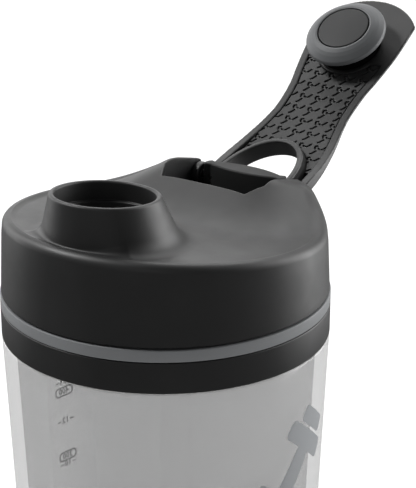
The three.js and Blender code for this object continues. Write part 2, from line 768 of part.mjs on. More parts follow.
function plugDiscGeometry() {
  return turned([
    [0, DISC_V],
    [DISC_RADIUS - 0.4, DISC_V],
    [DISC_RADIUS, DISC_V + 0.4],
    [DISC_RADIUS, DISC_V + DISC_THICKNESS],
    [0, DISC_V + DISC_THICKNESS],
  ], PLUG_ROUND);
}

// ---------- assembly ----------

const black = () => material(0x1c1c1d, 0.5);
const steel = (roughness) => material(0xb8b9bb, roughness, 1);
const greyRubber = (roughness) => material(0x66676a, roughness);

const bottle = new THREE.Group();

function addPart(name, geometry, finish, parent = bottle) {
  const mesh = new THREE.Mesh(geometry, finish);
  mesh.name = name;
  parent.add(mesh);
}

const accentBottom = RIM_HEIGHT - ACCENT_HEIGHT - GAP / 2;
const collarBottom = accentBottom - GAP / 2 - COLLAR_HEIGHT;
addPart('cup', cupGeometry(), material(0xaeb0b1, 0.25));
addPart('base_pad', basePadGeometry(), greyRubber(0.8));
addPart('cup_collar', bandGeometry(collarBottom, COLLAR_HEIGHT), black());
addPart('accent_ring', bandGeometry(accentBottom, ACCENT_HEIGHT), greyRubber(0.6));
addPart('mixing_ball', mixingBallGeometry(), steel(0.3));
addPart('lid_gasket', gasketGeometry(), material(0xc9cacc, 0.7));
addPart('lid_shell', lidShellGeometry(), black());
addPart('lid_liner', lidLinerGeometry(), black());
addPart('hinge_block', hingeBlockGeometry(), black());
const pin = hingeRod(PIN_RADIUS, -PIN_HALF_LENGTH, PIN_HALF_LENGTH, PIN_ROUND);
addPart('hinge_pin', pin, steel(0.35));

// The arm's frame has u along its Y and v along its Z. Opening it turns v down and back.
const arm = new THREE.Group();
arm.position.set(0, HINGE_Y, HINGE_Z);
arm.rotation.x = OPEN_DIRECTION;
bottle.add(arm);

// v points away from the plug, which is down in the open position, so the plate is turned over.
const turnedOver = new THREE.Matrix4().makeScale(1, 1, -1);

function addArmPart(name, geometry, finish, u = 0) {
  geometry.translate(0, u, 0);
  geometry.applyMatrix4(turnedOver);
  if (!geometry.getIndex()) geometry = mergeVertices(geometry, 1e-4);
  addPart(name, signedVolume(geometry) < 0 ? flipped(geometry) : geometry, finish, arm);
}

addArmPart('cap_arm', armGeometry(), black());
addArmPart('grip_pad', gripGeometry(), material(0x2a2a2b, 0.6));
addArmPart('plug_stem', plugStemGeometry(), black(), PLUG_U);
addArmPart('plug_seal', plugSealGeometry(), material(0x6b6d70, 0.65), PLUG_U);
addArmPart('plug_disc', plugDiscGeometry(), material(0x454648, 0.55), PLUG_U);

export default bottle;
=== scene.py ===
"""Looks of a protein shaker bottle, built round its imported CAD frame.

Shapes are worked out in millimetres and scaled to metres when they become objects.
"""

import math

import bmesh  # noqa: E402
import bpy  # noqa: E402
import numpy as np  # noqa: E402
from mathutils import Matrix, Vector  # noqa: E402


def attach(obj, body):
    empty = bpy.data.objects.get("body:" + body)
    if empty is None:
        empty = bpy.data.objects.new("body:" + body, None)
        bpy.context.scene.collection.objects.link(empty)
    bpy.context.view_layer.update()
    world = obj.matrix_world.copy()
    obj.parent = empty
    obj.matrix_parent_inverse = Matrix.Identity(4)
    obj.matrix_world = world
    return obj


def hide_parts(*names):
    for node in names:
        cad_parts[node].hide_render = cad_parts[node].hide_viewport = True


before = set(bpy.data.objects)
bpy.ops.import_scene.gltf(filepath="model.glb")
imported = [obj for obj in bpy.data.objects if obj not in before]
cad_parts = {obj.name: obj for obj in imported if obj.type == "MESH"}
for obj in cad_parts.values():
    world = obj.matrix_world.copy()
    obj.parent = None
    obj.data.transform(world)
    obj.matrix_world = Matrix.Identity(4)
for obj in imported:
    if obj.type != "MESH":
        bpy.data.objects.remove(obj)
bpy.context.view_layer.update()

MM = 0.001
ROUND = 192

# ---------------------------------------------------------------- dimensions, as in the CAD frame

RIM_HEIGHT = 140.0
GAP = 0.3
CUP_TOP_RADIUS = 43.25
CUP_TOP = 128.1
CUP_TAPER = 0.0377
CUP_WALL = 3.4
CUP_MIDDLE = 124.0
CUP_BOTTOM = 0.8
CUP_UNDERSIDE = 2.3
FOOT_POCKET = 32.3
FLOOR_HEIGHT = 4.0
MOUTH_ROUND = 0.4
NECK_INNER = 36.4
NECK_OUTER = 38.4
NECK_START = 133.0
NECK_TOP = 147.4
GASKET_HEIGHT = 1.5
THREAD_LEAD = 8.0
THREAD_HEIGHT = 1.1
THREAD_BOTTOM = 140.9
THREAD_TURN = 225.0
LINER_BOTTOM = 140.6
LINER_ROOF, LINER_TOP = 149.5, 150.9
LINER_INNER = 39.9
LINER_HOLE = 36
BAND_RADIUS = 43.3
COLLAR_BOTTOM, COLLAR_TOP = 128.4, 136.5
ACCENT_BOTTOM, ACCENT_TOP = 136.65, 139.85
FOOT_RADIUS = 32
FOOT_THICKNESS = 2
BALL_RADIUS = 25
BALL_HEIGHT = 29.3
BALL_WIRE = 1.1
BALL_TURNS = 7
BALL_POLE = 6

LID_BOTTOM = 140.15
LID_RADIUS = 43.0
LID_TAPER = 0.05
LID_WALL_INNER = 41.5
SHELF_HEIGHT = 151.2
SHELF_INNER = 39.0
ROOF_THICKNESS = 2.4
LID_EDGE = 0.5
LIP_FILLET = 2.4
LIP_LEVEL = RIM_HEIGHT + 20
TOP_HEIGHT = 17.87
TOP_SLOPE = 0.105
DISH_DEPTH = 0.9
DISH_RADIUS = 41
DISH_WIDTH = 3.2
HUMP_HALF_X, HUMP_HALF_Y = 34, 36
HUMP_Y = 40
HUMP_REACH = 1.07
HUMP_EASE = 0.16
HUMP_HEIGHT = 23.3
HUMP_POWER = 1.25
DOME_HEIGHT = 21.5
DOME_SLOPE = 0.3
DOME_RADIUS = 41.9
DOME_BLEND = 0.9
SPOUT_Y = -23.9
SPOUT_HEIGHT = 31.15
SPOUT_TILT = 0.082
SPOUT_OUTER = 14.0
SPOUT_BORE = 12.55
SPOUT_LEDGE_BORE = 11.7
SPOUT_LEDGE_DEPTH = 5.1
SPOUT_DRAFT = 0.335
SPOUT_LEAN = 0.18
SPOUT_FOOT_SHARE = 0.4
SPOUT_FILLET = 4.0
SPOUT_FILLET_SHARE = 0.85

HINGE_Y = 36.3
HINGE_Z = 158.0
OPEN = math.atan2(0.583, 0.812)
SLOT_FLOOR = 152.9
SLOT_HALF = 16.3
SLOT_BACK = 60
SLOT_CORNER = 0.9
SLOT_EDGE = 0.4
SLOT_MOUTH = 0.7
POCKET_WALL = 2
NOTCH_HALF = 13.6
NOTCH_FRONT = 16.4
NOTCH_CREST = 21.5

BLOCK_HALF = 13.3
BLOCK_END = 2.4
BLOCK_CHORD_EXTRA = 0.6
BLOCK_EDGE = 0.55
BLOCK_FRONT_BULGE = 3.0
BLOCK_BACK_BULGE = 3.6
BLOCK_TOP = 161.9
PIN_RADIUS = 1.1
PIN_BORE = 1.4
PIN_HALF = 15.7
KNUCKLE_RADIUS = 3.3
KNUCKLE_INNER, KNUCKLE_OUTER = 13.7, 15.9
SWEEP = [(0, 6.65), (4, 6.35), (8, 5.6), (10.3, 4.95), (12, 4.6), (13.7, 4.5)]

PLUG_U = 60.9
ARM_FACE = 10.1
ARM_RISE = 8
ARM_RISE_LENGTH = 19
ARM_RISE_POWER = 1.6
ARM_EDGE = 0.22
CORNER_U = 72.4
CORNER_HALF = 15.9
TIP_U = 80.5
TIP_RADIUS = (CORNER_HALF**2 + (TIP_U - CORNER_U) ** 2) / (2 * (TIP_U - CORNER_U))
LOOP_U = 4.0
LOOP_HALF = 10.3
LOOP_LENGTH = 15.7
LOOP_RIM = 1.7
LOOP_RIM_PROUD = 1.8
GRIP_MARGIN = 2.4
GRIP_START, GRIP_END = 11.5, 56
GRIP_LAND = 10.2
GRIP_GAP = 0.15
RECESS_START = 3
GROOVE_HALF = 0.27
GROOVE_DEPTH = 0.5


# ---------------------------------------------------------------- mesh helpers


def mesh_from(points, faces):
    """A Blender mesh in millimetres from points and faces."""
    mesh = bpy.data.meshes.new("work")
    mesh.from_pydata(np.asarray(points, float).tolist(), [], [list(map(int, f)) for f in faces])
    mesh.validate()
    return mesh


def cleaned(mesh, merge=1e-5):
    """Merges doubled points, drops collapsed faces and turns every face outwards."""
    bm = bmesh.new()
    bm.from_mesh(mesh)
    bmesh.ops.remove_doubles(bm, verts=bm.verts, dist=merge)
    bmesh.ops.dissolve_degenerate(bm, dist=merge * 0.5, edges=bm.edges)
    bmesh.ops.recalc_face_normals(bm, faces=bm.faces)
    bm.to_mesh(mesh)
    bm.free()
    return mesh


def grid_faces(rows, columns, close_rows=False):
    """Quads between closed rows of points. The last row may join the first."""
    r = np.arange(rows if close_rows else rows - 1)
    c = np.arange(columns)
    rr, cc = np.meshgrid(r, c, indexing="ij")
    r2, c2 = (rr + 1) % rows, (cc + 1) % columns
    quads = [rr * columns + cc, rr * columns + c2, r2 * columns + c2, r2 * columns + cc]
    return np.stack([q.ravel() for q in quads], 1)


def loft(rings, close_rows=False):
    """A closed mesh from equal rings of points, capped unless the last ring joins the first."""
    rings = np.asarray(rings, float)
    rows, columns = rings.shape[:2]
    faces = grid_faces(rows, columns, close_rows).tolist()
    if not close_rows:
        faces.append(list(range(columns))[::-1])
        faces.append([(rows - 1) * columns + i for i in range(columns)])
    return cleaned(mesh_from(rings.reshape(-1, 3), faces))


def rounded(corners, steps=6):
    """An outline from (a, b) or (a, b, radius) corners, each rounded to its radius."""
    points = []
    count = len(corners)
    for i, corner in enumerate(corners):
        here = np.array(corner[:2], float)
        radius = corner[2] if len(corner) > 2 else 0
        before = np.array(corners[i - 1][:2], float) - here
        after = np.array(corners[(i + 1) % count][:2], float) - here
        if not radius:
            points.append(here)
            continue
        before /= np.linalg.norm(before)
        after /= np.linalg.norm(after)
        half = math.acos(np.clip(before @ after, -1, 1)) / 2
        middle = before + after
        middle /= np.linalg.norm(middle)
        centre = here + middle * radius / math.sin(half)
        a = here + before * radius / math.tan(half) - centre
        b = here + after * radius / math.tan(half) - centre
        turn = math.acos(np.clip(a @ b / (radius * radius), -1, 1))
        for k in range(steps + 1):
            t = k / steps
            arc = a * math.sin((1 - t) * turn) + b * math.sin(t * turn)
            points.append(centre + arc / math.sin(turn))
    return np.array(points)


def turned(outline, segments=ROUND, materials=None):
    """A solid turned about Z from a closed (radius, height) outline.

    materials gives the material's index for each edge of the outline.
    """
    outline = np.asarray(outline, float)
    angle = np.arange(segments) * 2 * math.pi / segments
    r, z = outline[:, 0][:, None], outline[:, 1][:, None]
    rings = np.stack([r * np.cos(angle), r * np.sin(angle), z + 0 * angle], -1)
    faces = grid_faces(len(outline), segments, close_rows=True)
    mesh = mesh_from(rings.reshape(-1, 3), faces)
    if materials is not None:
        index = np.repeat(np.asarray(materials, np.int32), segments)
        mesh.polygons.foreach_set("material_index", index)
    return cleaned(mesh)


def boolean(mesh, other, operation):
    """One mesh joined with or cut by another, both in millimetres."""
    a = bpy.data.objects.new("boolean_a", mesh)
    b = bpy.data.objects.new("boolean_b", other)
    for o in (a, b):
        bpy.context.scene.collection.objects.link(o)
    modifier = a.modifiers.new("boolean", "BOOLEAN")
    modifier.operation = operation
    modifier.solver = "EXACT"
    modifier.object = b
    graph = bpy.context.evaluated_depsgraph_get()
    made = bpy.data.meshes.new_from_object(a.evaluated_get(graph))
    for o in (a, b):
        bpy.data.objects.remove(o)
    return made


def piece(name, mesh, materials, body, replaces=None, sharp=32):
    """The finished object: in metres, smooth shaded, riding on its CAD body."""
    mesh.transform(Matrix.Scale(MM, 4))
    mesh.name = name
    mesh.materials.clear()
    for material in materials if isinstance(materials, list) else [materials]:
        mesh.materials.append(material)
    mesh.shade_smooth()
    mesh.set_sharp_from_angle(angle=math.radians(sharp))
    obj = bpy.data.objects.new(name, mesh)
    bpy.context.scene.collection.objects.link(obj)
    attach(obj, body)
    if replaces:
        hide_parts(replaces)
    return obj


def surface_net(field, low, high, step):
    """A smooth closed quad mesh of the zero surface of field(x, y, z), which is negative inside."""
    step = np.asarray(step, float)
    axes = [np.arange(a, b + s, s) for a, b, s in zip(low, high, step)]
    x, y, z = np.meshgrid(*axes, indexing="ij", sparse=True)
    values = np.broadcast_to(field(x, y, z), [len(a) for a in axes])
    inside = values < 0
    offsets = np.array([(i, j, k) for i in (0, 1) for j in (0, 1) for k in (0, 1)])
    shape = [n - 1 for n in values.shape]

    def corner(array, o):
        return array[o[0] : o[0] + shape[0], o[1] : o[1] + shape[1], o[2] : o[2] + shape[2]]

    count = sum(corner(inside, o).astype(np.int8) for o in offsets)
    cells = np.argwhere((count > 0) & (count < 8))
    number = -np.ones(shape, np.int64)
    number[tuple(cells.T)] = np.arange(len(cells))
    total = np.zeros((len(cells), 3))
    crossings = np.zeros(len(cells))
    for a in offsets:
        for axis in range(3):
            if a[axis]:
                continue
            b = a.copy()
            b[axis] = 1
            fa = values[tuple((cells + a).T)]
            fb = values[tuple((cells + b).T)]
            cross = (fa < 0) != (fb < 0)
            t = np.where(cross, fa / np.where(cross, fa - fb, 1), 0)
            total[cross] += (a + t[:, None] * (b - a))[cross]
            crossings += cross
    points = np.array(low) + (cells + total / crossings[:, None]) * step
    faces = []
    for axis in range(3):
        u, v = (axis + 1) % 3, (axis + 2) % 3
        ahead = [slice(None)] * 3
        ahead[axis] = slice(1, None)
        behind = [slice(None)] * 3
        behind[axis] = slice(None, -1)
        edges = np.argwhere(inside[tuple(ahead)] != inside[tuple(behind)])
        outward = inside[tuple(behind)][tuple(edges.T)]
        corners = []
        for du, dv in ((1, 1), (0, 1), (0, 0), (1, 0)):
            cell = edges.copy()
            cell[:, u] -= du
            cell[:, v] -= dv
            corners.append(number[tuple(cell.T)])
        quad = np.stack(corners, 1)
        quad[~outward] = quad[~outward][:, ::-1]
        faces.append(quad)
    faces = np.concatenate(faces)
    tiny = 1e-3
    for _ in range(3):
        here = field(*points.T)
        slope = [(field(*(points + d).T) - field(*(points - d).T)) / (2 * tiny)
                 for d in np.eye(3) * tiny]
        slope = np.stack(slope, 1)
        square = np.maximum((slope**2).sum(1), 0.2)
        move = -slope * (here / square)[:, None]
        points = points + np.clip(move, -step * 0.4, step * 0.4)
    return points, faces


def round_and(a, b, radius):
    """The overlap of two solids given by distance, with its edges rounded."""
    corner = np.hypot(np.maximum(radius + a, 0), np.maximum(radius + b, 0))
    return np.minimum(-radius, np.maximum(a, b)) + corner


def round_or(a, b, radius):
    """Two solids given by distance joined, with a fillet between them."""
    corner = np.hypot(np.maximum(radius - a, 0), np.maximum(radius - b, 0))
    return np.maximum(radius, np.minimum(a, b)) - corner


def smooth_step(value, start, end):
    """Rises smoothly from 0 at start to 1 at end."""
    t = np.clip((value - start) / (end - start), 0, 1)
    return t * t * (3 - 2 * t)


# ---------------------------------------------------------------- materials

# The part of a noise texture's 0 to 1 range that most of its values lie in.
NOISE_LOW, NOISE_HIGH = 0.3, 0.7
GRAIN_DEPTH = 4e-5


def new_material(name):
    material = bpy.data.materials.new(name)
    material.use_nodes = True
    tree = material.node_tree
    shader = tree.nodes["Principled BSDF"]
    coordinates = tree.nodes.new("ShaderNodeTexCoord")
    return material, tree, shader, coordinates.outputs["Object"]


def noise(tree, where, scale, detail):
    node = tree.nodes.new("ShaderNodeTexNoise")
    node.inputs["Scale"].default_value = scale
    node.inputs["Detail"].default_value = detail
    tree.links.new(where, node.inputs["Vector"])
    return node.outputs["Fac"]


def mapped(tree, value, low, high):
    node = tree.nodes.new("ShaderNodeMapRange")
    node.inputs["From Min"].default_value = NOISE_LOW
    node.inputs["From Max"].default_value = NOISE_HIGH
    node.inputs["To Min"].default_value = low
    node.inputs["To Max"].default_value = high
    tree.links.new(value, node.inputs["Value"])
    return node.outputs["Result"]


def two_tone(tree, value, dark, light):
    node = tree.nodes.new("ShaderNodeValToRGB")
    node.color_ramp.elements[0].position = NOISE_LOW
    node.color_ramp.elements[1].position = NOISE_HIGH
    node.color_ramp.elements[0].color = (*dark, 1)
    node.color_ramp.elements[1].color = (*light, 1)
    tree.links.new(value, node.inputs["Fac"])
    return node.outputs["Color"]


def bumped(tree, shader, height, strength, distance):
    node = tree.nodes.new("ShaderNodeBump")
    node.inputs["Strength"].default_value = strength
    node.inputs["Distance"].default_value = distance
    tree.links.new(height, node.inputs["Height"])
    tree.links.new(node.outputs["Normal"], shader.inputs["Normal"])


def moulded(name, dark, light, rough, grain=2600, strength=0.12, specular=0.5):
    """Moulded plastic or rubber: fine grain in the surface, slow drifts in tone and gloss."""
    material, tree, shader, where = new_material(name)
    tone = two_tone(tree, noise(tree, where, 55, 3), dark, light)
    tree.links.new(tone, shader.inputs["Base Color"])
    tree.links.new(mapped(tree, noise(tree, where, 140, 4), *rough), shader.inputs["Roughness"])
    bumped(tree, shader, noise(tree, where, grain, 2), strength, GRAIN_DEPTH)
    shader.inputs["Specular IOR Level"].default_value = specular
    return material


def grey(level, blue=0.0):
    """A grey, cooler by the share blue."""
    return (level, level * (1 + blue * 0.5), level * (1 + blue))


def clear_plastic(name, tint, alpha, rough):
    """See-through tinted plastic: faint flow marks in the tint and a nearly polished face."""
    material, tree, shader, where = new_material(name)
    tone = two_tone(tree, noise(tree, where, 24, 2), grey(tint * 0.95), grey(tint * 1.05))
    tree.links.new(tone, shader.inputs["Base Color"])
    tree.links.new(mapped(tree, noise(tree, where, 90, 3), *rough), shader.inputs["Roughness"])
    bumped(tree, shader, noise(tree, where, 160, 1), 0.03, 2e-5)
    shader.inputs["Alpha"].default_value = alpha
    shader.inputs["IOR"].default_value = 1.5
    return material


def metal(name, tone, rough):
    """Drawn steel: fine lines along the wire in tone, gloss and surface."""
    material, tree, shader, where = new_material(name)
    stretch = tree.nodes.new("ShaderNodeMapping")
    stretch.inputs["Scale"].default_value = (0.15, 1, 1)
    tree.links.new(where, stretch.inputs["Vector"])
    lines = noise(tree, stretch.outputs["Vector"], 1800, 3)
    tree.links.new(two_tone(tree, lines, grey(tone * 0.9), grey(tone)), shader.inputs["Base Color"])
    tree.links.new(mapped(tree, lines, *rough), shader.inputs["Roughness"])
    bumped(tree, shader, lines, 0.08, 1e-5)
    shader.inputs["Metallic"].default_value = 1.0
    return material


BLACK = moulded("moulded_black", grey(0.0125, 0.02), grey(0.0150, 0.02), (0.46, 0.54))
BLOCK = moulded("block_black", grey(0.0125, 0.02), grey(0.0150, 0.02), (0.55, 0.62), specular=0.22)
# Painted shade: a near-black with no gloss, put on bores, slots, hollows and the plug's stem where
# shade falls.
SHADE = moulded("painted_shade_black", grey(0.0025), grey(0.0035), (0.8, 0.9), specular=0.0)
LINER = moulded("liner_black", grey(0.022), grey(0.028), (0.38, 0.46), grain=1400)
GRIP = moulded("grip_black", grey(0.013, 0.02), grey(0.016, 0.02), (0.5, 0.58), grain=3200)
ACCENT = moulded("accent_rubber", grey(0.160, 0.07), grey(0.175, 0.07), (0.55, 0.65), grain=2200)
FOOT = moulded("foot_rubber", grey(0.10, 0.03), grey(0.12, 0.03), (0.75, 0.88),
               grain=1500, strength=0.3)
SEAL = moulded("seal_silicone", grey(0.084, 0.09), grey(0.098, 0.09), (0.5, 0.6), grain=1800)
DISC = moulded("disc_plastic", grey(0.017, 0.05), grey(0.021, 0.05), (0.5, 0.6), specular=0.35)
PALE = moulded("pale_silicone", grey(0.52), grey(0.58), (0.5, 0.6), grain=1200)
CUP_OUTER = clear_plastic("cup_plastic_outer", 0.34, 0.36, (0.10, 0.16))
CUP_INNER = clear_plastic("cup_plastic_inner", 0.30, 0.09, (0.14, 0.22))
PRINT = moulded("print_ink", grey(0.004, 0.05), grey(0.006, 0.05), (0.5, 0.6),
                grain=4000, strength=0.05)
EMBLEM = moulded("emblem_ink", grey(0.235, 0.08), grey(0.25, 0.08), (0.5, 0.6),
                 grain=4000, strength=0.05)
WIRE = metal("steel_wire_metal", 0.62, (0.18, 0.26))
PIN = metal("steel_pin_metal", 0.55, (0.28, 0.36))


# ---------------------------------------------------------------- cup


def cup_radius(z):
    return CUP_TOP_RADIUS - CUP_TAPER * (CUP_TOP - z)


def thread_ridge(root, crest, bottom, start):
    """One start of the screw thread: a rounded ridge that fades out at both ends."""
    steps = int(THREAD_TURN / 3)
    side = math.copysign(1, crest - root)
    rings = []
    for i in range(steps + 1):
        angle = math.radians(start + i * THREAD_TURN / steps)
        z = bottom + THREAD_LEAD * i * THREAD_TURN / steps / 360
        fade = min(1.0, 0.15 + min(i, steps - i) / 12)
        tip = root + (crest - root) * fade
        middle = root + (tip - root) * 0.5
        shoulder = tip - side * 0.12
        lower = [(root - side * GAP, -0.8), (middle, -0.62), (shoulder, -0.42), (tip, -0.22)]
        section = lower + [(r, -dz) for r, dz in lower[::-1]]
        rings.append([(r * math.cos(angle), r * math.sin(angle), z + dz) for r, dz in section])
    return loft(rings)


def with_threads(mesh, root, crest, bottom):
    """Adds both starts of the screw thread."""
    for start in (0, 180):
        mesh = boolean(mesh, thread_ridge(root, crest, bottom, start), "UNION")
    return mesh


def make_cup():
    """The cup and its threaded neck, with a more tinted outside than inside."""
    inner = [(NECK_INNER, NECK_TOP, MOUTH_ROUND), (NECK_INNER, NECK_START, 3),
             (cup_radius(CUP_MIDDLE) - CUP_WALL, CUP_MIDDLE, 3),
             (cup_radius(FLOOR_HEIGHT) - CUP_WALL, FLOOR_HEIGHT, 7), (0, FLOOR_HEIGHT)]
    outer = [(0, CUP_UNDERSIDE), (FOOT_POCKET, CUP_UNDERSIDE), (FOOT_POCKET, CUP_BOTTOM, 0.3),
             (cup_radius(CUP_BOTTOM), CUP_BOTTOM, 4), (CUP_TOP_RADIUS, CUP_TOP, 0.35),
             (NECK_OUTER, CUP_TOP, 0.3), (NECK_OUTER, NECK_TOP, 0.6)]
    outline = rounded(outer + inner, 8)
    across_mouth = np.abs(outline[:, 0] - (NECK_INNER + MOUTH_ROUND)) < 0.02
    split = int(np.argmax(across_mouth & (outline[:, 1] > NECK_TOP - MOUTH_ROUND)))
    materials = [0 if i < split else 1 for i in range(len(outline))]
    materials[-1] = 1
    mesh = turned(outline, materials=materials)
    mesh = with_threads(mesh, NECK_OUTER, NECK_OUTER + THREAD_HEIGHT, THREAD_BOTTOM)
    piece("cup_shell", mesh, [CUP_OUTER, CUP_INNER], "cup_body", "cup")


def make_bands():
    inner = NECK_OUTER + GAP
    collar = [(inner, COLLAR_BOTTOM, 0.2), (BAND_RADIUS, COLLAR_BOTTOM, 0.3),
              (BAND_RADIUS, COLLAR_TOP, 0.3), (inner, COLLAR_TOP, 0.2)]
    piece("collar_band", turned(rounded(collar)), BLACK, "cup_body", "cup_collar")
    accent = [(inner, ACCENT_BOTTOM, 0.2), (BAND_RADIUS, ACCENT_BOTTOM, 0.35),
              (BAND_RADIUS, ACCENT_TOP, 0.35), (inner, ACCENT_TOP, 0.2)]
    piece("accent_band", turned(rounded(accent)), ACCENT, "cup_body", "accent_ring")


def make_foot():
    """The round foot, with a shallow hollow at its centre and three grooves round it."""
    edge, depth = 0.15, 0.5
    outline = [(0, 0.35), (6, 0.35, edge), (6, 0, edge)]
    for inner, outer in ((12, 14), (20, 22), (28, 29.4)):
        outline += [(inner, 0, edge), (inner, depth, edge), (outer, depth, edge), (outer, 0, edge)]
    outline += [(FOOT_RADIUS, 0, 0.5), (FOOT_RADIUS, FOOT_THICKNESS, 0.2), (0, FOOT_THICKNESS)]
    piece("foot_pad", turned(rounded(outline, 3)), FOOT, "cup_body", "base_pad")


def make_gasket_and_liner():
    bottom, edge = NECK_TOP + GAP, 0.4
    outline = [(NECK_INNER, bottom, edge), (NECK_OUTER, bottom, edge),
               (NECK_OUTER, bottom + GASKET_HEIGHT, edge), (NECK_INNER, bottom + GASKET_HEIGHT, edge)]
    piece("gasket_ring", turned(rounded(outline)), PALE, "gasket_body", "lid_gasket")
    inner, outer, edge = LINER_INNER, LID_WALL_INNER - GAP, 0.3
    outline = [(inner, LINER_BOTTOM, edge), (outer, LINER_BOTTOM, edge), (outer, LINER_TOP, edge),
               (LINER_HOLE, LINER_TOP, edge), (LINER_HOLE, LINER_ROOF, edge), (inner, LINER_ROOF, 0.5)]
    mesh = with_threads(turned(rounded(outline)), inner, inner - THREAD_HEIGHT, THREAD_BOTTOM + 2)
    piece("liner_cap", mesh, LINER, "lid_body", "lid_liner")


def make_ball():
    """A wire wound from pole to pole, with rounded ends."""
    radius = BALL_RADIUS - BALL_WIRE
    steps = BALL_TURNS * 64
    t = np.linspace(0, 1, steps + 1)
    polar = np.radians(BALL_POLE + (180 - 2 * BALL_POLE) * t)
    turn = 2 * math.pi * BALL_TURNS * t
    path = np.stack([radius * np.sin(polar) * np.cos(turn), radius * np.sin(polar) * np.sin(turn),
                     -radius * np.cos(polar)], 1)
    along = np.gradient(path, axis=0)
    along /= np.linalg.norm(along, axis=1)[:, None]
    out = path / radius
    out -= (out * along).sum(1)[:, None] * along
    out /= np.linalg.norm(out, axis=1)[:, None]
    side = np.cross(along, out)
    around = np.arange(12)[:, None] * math.pi / 6
    rings = []
    for i in range(steps + 1):
        near_end = min(i, steps - i)
        width = BALL_WIRE * math.sqrt(max(0.04, 1 - max(0, 1 - near_end / 2) ** 2))
        rings.append(path[i] + width * (np.cos(around) * out[i] + np.sin(around) * side[i]))
    rings = np.array(rings) + np.array([0, 0, BALL_HEIGHT])
    piece("wire_ball", loft(rings), WIRE, "ball_body", "mixing_ball", sharp=60)


# ---------------------------------------------------------------- lid


def lid_wall_radius(z):
    return LID_RADIUS - LID_TAPER * (z - RIM_HEIGHT)


def smooth_min(a, b, reach):
    """The lower of two heights, with their crossing rounded over a reach."""
    h = np.maximum(reach - np.abs(a - b), 0) / reach
    return np.minimum(a, b) - h * h * reach / 4


def lid_top(x, y):
    """Height of the lid's top: a shallow dish, with a raised hump round the hinge."""
    reach = ((np.abs(x) / HUMP_HALF_X) ** 4 + (np.abs(y - HUMP_Y) / HUMP_HALF_Y) ** 4) ** 0.25
    inward = HUMP_REACH - reach
    hump = HUMP_HEIGHT * ((inward + np.hypot(inward, HUMP_EASE)) / 2) ** HUMP_POWER
    radius = np.hypot(x, y)
    dish = DISH_DEPTH * smooth_step(DISH_RADIUS - radius, 0, DISH_WIDTH)
    dome = DOME_HEIGHT + DOME_SLOPE * (DOME_RADIUS - radius)
    return RIM_HEIGHT + smooth_min(TOP_HEIGHT - TOP_SLOPE * y - dish + hump, dome, DOME_BLEND)


def spout_rim(y):
    """Height of the spout's rim, which leans towards the drinker."""
    return RIM_HEIGHT + SPOUT_HEIGHT - SPOUT_TILT * (y - SPOUT_Y)


def ray_length(dy, radius):
    """How far a ray from the spout's axis travels to a circle round the bottle's axis."""
    along = dy * SPOUT_Y
    return -along + math.sqrt(along * along - SPOUT_Y * SPOUT_Y + radius * radius)


def lid_section(dx, dy):
    """The lid's closed section along one ray from the spout's axis, as (distance, height)."""

    def top(t):
        return lid_top(t * dx, SPOUT_Y + t * dy)

    def rim(t):
        return spout_rim(SPOUT_Y + t * dy)

    def reach(radius):
        return ray_length(dy, radius)

    lip_inner = reach(lid_wall_radius(LIP_LEVEL) - LIP_FILLET)
    lip = rounded([(SPOUT_LEDGE_BORE, 0),
                   (SPOUT_LEDGE_BORE, rim(SPOUT_LEDGE_BORE) - SPOUT_LEDGE_DEPTH, 0.3),
                   (SPOUT_BORE, rim(SPOUT_BORE) - SPOUT_LEDGE_DEPTH, 0.25),
                   (SPOUT_BORE, rim(SPOUT_BORE), 0.6), (SPOUT_OUTER, rim(SPOUT_OUTER), 0.7),
                   (SPOUT_OUTER, 0)], 5)[1:-1]
    start = lip[-1][1]
    draft = (SPOUT_DRAFT + SPOUT_LEAN * dy) * (start - top(SPOUT_OUTER))
    foot = SPOUT_OUTER + min(draft, SPOUT_FOOT_SHARE * (lip_inner - SPOUT_OUTER))
    fillet_reach = min(SPOUT_FILLET, SPOUT_FILLET_SHARE * (lip_inner - foot))
    edge = foot + fillet_reach
    share = fillet_reach / (start - top(foot))
    corner = np.array([(foot + (SPOUT_OUTER - foot) * share, top(foot) + fillet_reach),
                       (foot, top(foot)), (edge, top(edge))])
    s = np.linspace(0, 1, 17)[:, None]
    foot_curve = (1 - s) ** 2 * corner[0] + 2 * s * (1 - s) * corner[1] + s**2 * corner[2]
    t = np.linspace(edge, lip_inner, 81)[1:]
    plateau = np.stack([t, top(t)], 1)
    lip_top = top(lip_inner)
    outer_centre = lid_wall_radius(lip_top) - LIP_FILLET
    fillet = [(reach(outer_centre + LIP_FILLET * math.cos(math.radians(a))),
               lip_top - LIP_FILLET + LIP_FILLET * math.sin(math.radians(a)))
              for a in np.linspace(74, 0, 11)]
    low = lip_top - LIP_FILLET
    wall = [(reach(lid_wall_radius(z)), z) for z in np.linspace(low, LID_BOTTOM + LID_EDGE, 9)[1:]]
    corner = [(reach(LID_RADIUS - LID_EDGE + LID_EDGE * math.cos(a)),
               LID_BOTTOM + LID_EDGE - LID_EDGE * math.sin(a))
              for a in np.radians([22, 45, 68, 90])]
    roof_start = reach(SHELF_INNER - 0.6)
    t = np.linspace(roof_start, SPOUT_OUTER - 1, 25)
    underside = np.stack([t, top(t) - ROOF_THICKNESS], 1)
    inside = [(reach(LID_WALL_INNER), LID_BOTTOM), (reach(LID_WALL_INNER), SHELF_HEIGHT),
              (reach(SHELF_INNER), SHELF_HEIGHT), (reach(SHELF_INNER), underside[0][1] - 2)]
    bottom = [(SPOUT_LEDGE_BORE, top(SPOUT_LEDGE_BORE) - ROOF_THICKNESS - 1)]
    return np.concatenate([bottom, lip, foot_curve, plateau, fillet, wall, corner, inside, underside])


